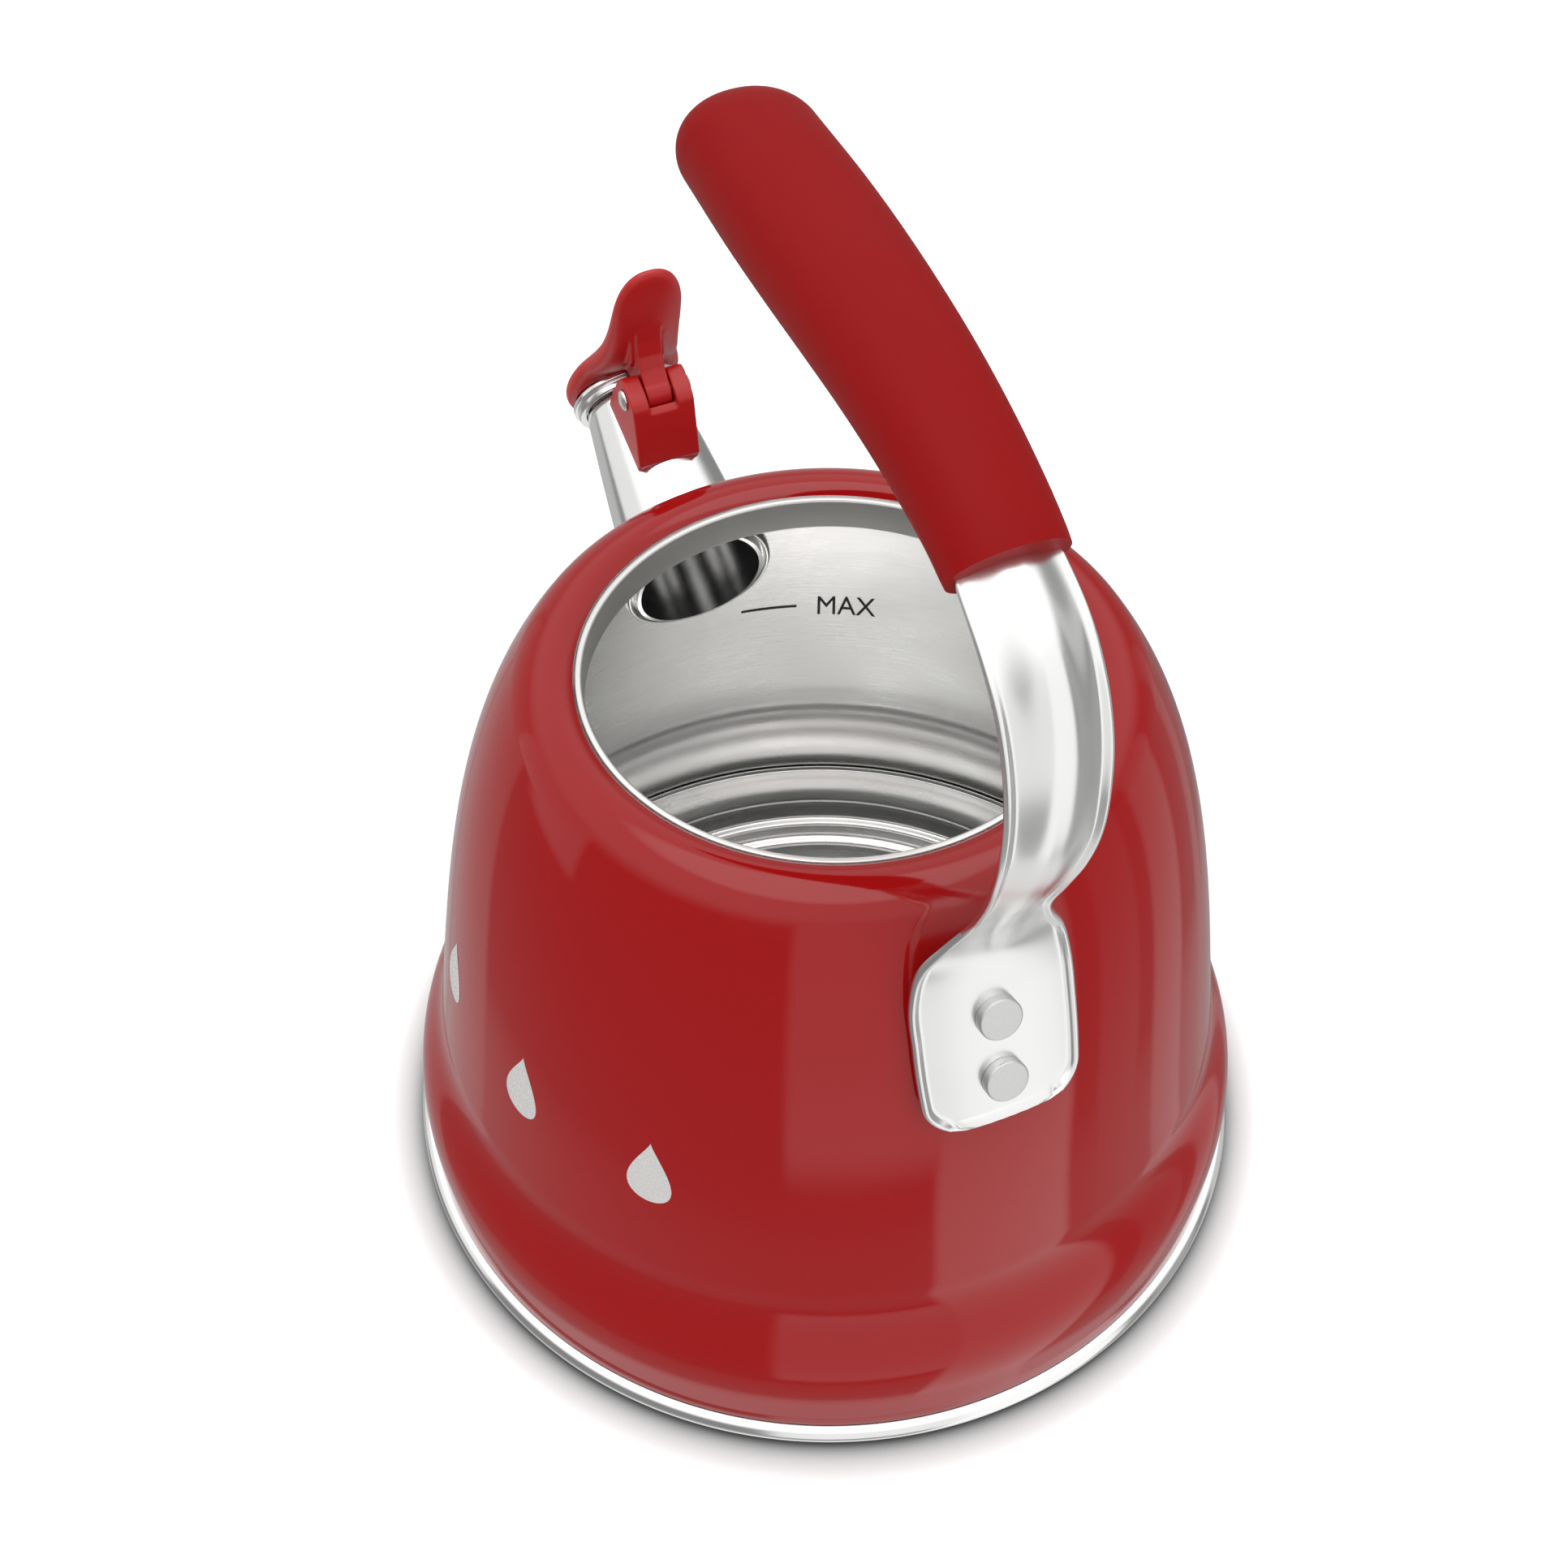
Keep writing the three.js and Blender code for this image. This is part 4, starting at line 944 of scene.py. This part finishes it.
# Stainless steel tumbled among ceramic chips: evenly dull, with very small dents.
tumbled_steel, tree, surface = material("tumbled_stainless")
place = add(tree, "TexCoord").outputs["Object"]
peened = add(tree, "TexNoise", {"Scale": 1 / (0.5 * MM), "Detail": 3}, {0: place}).outputs["Fac"]
tumbled_tone = add(tree, "Mix", {"data_type": "RGBA", 6: linear("#CBCBCA"), 7: linear("#DEDEDD")},
                   {0: peened}).outputs[2]
tumbled_rough = add(tree, "MapRange", {3: 0.36, 4: 0.5}, {0: peened}).outputs[0]
dents = add(tree, "Bump", {"Strength": 0.3, "Distance": 0.02 * MM}, {"Height": peened}).outputs[0]
shader = add(tree, "BsdfPrincipled", {"Metallic": 1},
             {"Base Color": tumbled_tone, "Roughness": tumbled_rough, "Normal": dents})
tree.links.new(shader.outputs[0], surface)

for name, (x, z) in RIVETS.items():
    rivet_place = Matrix.Translation((x * MM, 0, z * MM)) @ Matrix.Rotation(math.pi / 2 - RIVET_PITCH, 4, "Y")
    turned(f"{name}_rivet_headed", rounded([
        (0.01, 3.2, 0), (RIVET_HEAD_R, 3.2, 0.5), (RIVET_HEAD_R, 0.8, 0.3), (SHANK_R, 0.8, 0),
        (SHANK_R, -5.2, 0), (4.4, -5.2, 0.3), (3.6, -6.5, 1.2), (0.01, -6.9, 0),
    ]), 72, [tumbled_steel], "kettle", [f"{name}_rivet"], rivet_place)
    turned(f"{name}_washer_punched", rounded([
        (SHANK_R + 0.3, -4.9, 0.1), (WASHER_R, -4.9, 0.3), (WASHER_R, -3.9, 0.1), (SHANK_R + 0.3, -3.9, 0.1),
    ]), 72, [tumbled_steel], "kettle", [f"{name}_rivet_washer"], rivet_place)


# ---- Grip core -----------------------------------------------------------------------------------
# Glass-filled nylon, moulded around the strap's tang and hidden inside the sleeve.

# Nylon full of short glass fibres, as moulded: near black and dull, with grey flecks.
filled_nylon, tree, surface = material("glass_filled_nylon")
place = add(tree, "TexCoord").outputs["Object"]
fibres = add(tree, "TexNoise", {"Scale": 1 / (0.6 * MM), "Detail": 3}, {0: place}).outputs["Fac"]
core_tone = add(tree, "Mix", {"data_type": "RGBA", 6: linear("#202021"), 7: linear("#303031")},
                {0: fibres}).outputs[2]
core_rough = add(tree, "MapRange", {3: 0.5, 4: 0.68}, {0: fibres}).outputs[0]
shader = add(tree, "BsdfPrincipled", {"IOR": 1.53}, {"Base Color": core_tone, "Roughness": core_rough})
tree.links.new(shader.outputs[0], surface)
refinish("grip_core", filled_nylon)


# ---- Grip ----------------------------------------------------------------------------------------
# A sleeve of red silicone moulded over the core, matt and soft to the touch. It is fullest at its
# blunt free end, and its mount end is cut square with a rounded lip where the strap comes out.

GRIP = [  # x, z, half width, half thickness
    (-43.7, 264, 15.2, 10.6), (-18.8, 263, 15.7, 10.6), (0.1, 262, 15.4, 10.4), (15.2, 260.9, 14.8, 10.2),
    (29.3, 259.4, 14.1, 10), (42.7, 257.1, 13.4, 9.8), (55, 254, 12.8, 9.4), (64, 251, 12.4, 9),
    (71, 247.7, 12.2, 8.7),
]
GRIP_TIP_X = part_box("handle_grip")[0].x / MM
LIP = 1.2

# Silicone rubber with a soft-touch skin: it drinks the light, with hardly any shine.
soft_silicone, tree, surface = material("soft_red_silicone")
place = add(tree, "TexCoord").outputs["Object"]
pores = add(tree, "TexNoise", {"Scale": 1 / (0.45 * MM), "Detail": 3}, {0: place}).outputs["Fac"]
handled = add(tree, "TexNoise", {"Scale": 1 / (24 * MM), "Detail": 2}, {0: place}).outputs["Fac"]
rubber_tone = add(tree, "Mix", {"data_type": "RGBA", 6: linear("#83090A"), 7: linear("#8B0B0C")},
                  {0: handled})
rubber_rough = add(tree, "MapRange", {1: 0.3, 2: 0.7, 3: 0.42, 4: 0.54}, {0: handled}).outputs[0]
rubber_skin = add(tree, "Bump", {"Strength": 0.3, "Distance": 0.03 * MM}, {"Height": pores}).outputs[0]
shader = add(tree, "BsdfPrincipled", {"IOR": 1.41, "Specular IOR Level": 0.12},
             {"Base Color": rubber_tone.outputs[2], "Roughness": rubber_rough, "Normal": rubber_skin})
tree.links.new(shader.outputs[0], surface)

grip_rings = []
grip_rows = through(GRIP, 110)
TIP_RINGS = 22
LIP_RINGS = 7
lip_start = len(grip_rows) - 4
for j in range(-TIP_RINGS, len(grip_rows) + LIP_RINGS):
    k = min(max(j, 0), len(grip_rows) - 1)
    row = grip_rows[k]
    before, after = grip_rows[max(k - 1, 0)], grip_rows[min(k + 1, len(grip_rows) - 1)]
    along = Vector((after[0] - before[0], 0, after[1] - before[1])).normalized()
    shift, wide, thick = 0.0, row[2], row[3]
    if j < 0:
        lean = 0.5 * math.pi * (1 + (j + 0.15) / TIP_RINGS)
        shift = -(grip_rows[0][0] - GRIP_TIP_X) * math.cos(lean)
        wide, thick = wide * math.sin(lean) ** 0.8, thick * math.sin(lean) ** 0.8
    if j >= lip_start:
        lean = 0.5 * math.pi * (j - lip_start) / (LIP_RINGS + 3)
        wide, thick = wide - LIP * (1 - math.cos(lean)), thick - LIP * (1 - math.cos(lean))
    middle = Vector((row[0], 0, row[1])) + along * shift
    up = Vector((-along.z, 0, along.x))
    ring = []
    for c, s in squared_oval(72, 0.94):
        lift = up * thick * c
        ring.append((middle.x + lift.x, wide * s, middle.z + lift.z))
    grip_rings.append(ring)
points, faces = loft(grip_rings)
piece("grip_sleeve", points, faces, [soft_silicone], "kettle", ["handle_grip"], sharp=60)


# ---- Table, light and camera ---------------------------------------------------------------------
# A plain white table top that fades into the light, with a painted contact shadow darkest in the 9 mm
# beside the foot. The light is one wide overhead tent, with soft panels low around it that draw pale
# bands on the enamel.

SHADOW_REACH = 9
SHADOW_DEPTH = 2.2

table_top, tree, surface = material("white_table_top")
place = add(tree, "TexCoord").outputs["Object"]
cloth = add(tree, "TexNoise", {"Scale": 4}, {0: place}).outputs["Fac"]
white = add(tree, "Mix", {"data_type": "RGBA", 6: linear("#F8F8F8"), 7: linear("#FAFAFA")},
            {0: cloth}).outputs[2]
# Painted shadow: ambient occlusion darkens the table's colour towards #1C1A1A within 9 mm of the kettle.
painted_shadow_ao = add(tree, "AmbientOcclusion", {"samples": 16, "Distance": SHADOW_REACH * MM}).outputs["AO"]
painted_contact_shadow = add(tree, "Math", {"operation": "POWER", 1: SHADOW_DEPTH}, {0: painted_shadow_ao}).outputs[0]
shaded = add(tree, "Mix", {"data_type": "RGBA", 6: linear("#1C1A1A")}, {0: painted_contact_shadow, 7: white}).outputs[2]
shader = add(tree, "BsdfDiffuse", links={"Color": shaded})
tree.links.new(shader.outputs[0], surface)
top_mesh = bpy.data.meshes.new("table_top")
grid = bmesh.new()
bmesh.ops.create_grid(grid, x_segments=8, y_segments=8, size=6)
grid.to_mesh(top_mesh)
grid.free()
top_mesh.materials.append(table_top)
floor = linked("table_top", top_mesh)
floor.location.z = cad_low.z - 0.0002
floor.visible_glossy = False

# The tent's wall, its roof, the table's glow, and the glow below it: where each starts and ends, as
# the sine of the elevation, and its strength before and after.
BANDS = [
    (0.15, 0.6, 0.25, 1.2), (0.8, 0.92, 0, 2.5), (-0.72, -0.55, 0.38, 0), (-0.92, -0.82, 0.85, 0),
]
PANEL_SOFT = 2.5
PANELS = [  # azimuth, half width, lowest edge as the sine of the elevation, strength
    (2, 37, -0.67, 0.92), (25, 20, -0.98, 1.1), (62, 9, -0.95, 0.4), (86, 9, -0.95, 0.6),
    (112, 4, -0.95, 0.4), (-122, 20, -0.2, 0.85), (-152, 18, -0.95, 0.5), (165, 26, -0.95, 0.5),
]
world = bpy.data.worlds.new("light_tent")
bpy.context.scene.world = world
world.use_nodes = True
tree = world.node_tree
tree.nodes.clear()
way = add(tree, "TexCoord").outputs["Generated"]
split = add(tree, "SeparateXYZ", links={0: way})
around = add(tree, "Math", {"operation": "ARCTAN2"}, {0: split.outputs[1], 1: split.outputs[0]}).outputs[0]
light = None
for start, end, before, after in BANDS:
    band = add(tree, "MapRange", {"interpolation_type": "SMOOTHSTEP", 1: start, 2: end, 3: before,
               4: after}, {0: split.outputs[2]}).outputs[0]
    light = add(tree, "Math", {"operation": "MAXIMUM"}, {0: light, 1: band}).outputs[0] if light else band
for azimuth, half, low, strength in PANELS:
    off = add(tree, "Math", {"operation": "SUBTRACT", 1: math.radians(azimuth)}, {0: around}).outputs[0]
    near = add(tree, "Math", {"operation": "COSINE"}, {0: off}).outputs[0]
    dark_at, bright_at = math.cos(math.radians(half + PANEL_SOFT)), math.cos(math.radians(half - PANEL_SOFT))
    window = add(tree, "MapRange", {"interpolation_type": "SMOOTHSTEP", 1: dark_at, 2: bright_at, 3: 0,
                 4: strength}, {0: near}).outputs[0]
    above = add(tree, "MapRange", {"interpolation_type": "SMOOTHSTEP", 1: low, 2: low + 0.1, 3: 0, 4: 1},
                {0: split.outputs[2]}).outputs[0]
    panel = add(tree, "Math", {"operation": "MULTIPLY"}, {0: window, 1: above}).outputs[0]
    light = add(tree, "Math", {"operation": "MAXIMUM"}, {0: light, 1: panel}).outputs[0]
background = add(tree, "Background", {"Color": (1, 1, 1, 1)}, {"Strength": light})
add(tree, "OutputWorld", links={"Surface": background.outputs[0]})

CAMERA_AT = Vector((312.7, -145.8, 502.0))
FORWARD = Vector((-0.6151, 0.2636, -0.7431)).normalized()
ROLL = -0.0014
level = Vector((0.3938, 0.9192, 0)).normalized()
upward = level.cross(FORWARD).normalized()
sideways = level * math.cos(ROLL) + upward * math.sin(ROLL)
lens = bpy.data.cameras.new("camera")
lens.lens = 50
lens.sensor_width = 36
lens.clip_start = 0.01
camera = linked("camera", lens)
turned_up = (-FORWARD).cross(sideways).normalized()
camera.matrix_world = Matrix((
    (sideways.x, turned_up.x, -FORWARD.x, CAMERA_AT.x * MM),
    (sideways.y, turned_up.y, -FORWARD.y, CAMERA_AT.y * MM),
    (sideways.z, turned_up.z, -FORWARD.z, CAMERA_AT.z * MM),
    (0, 0, 0, 1),
))
bpy.context.scene.camera = camera
bpy.context.scene.view_settings.view_transform = "Standard"
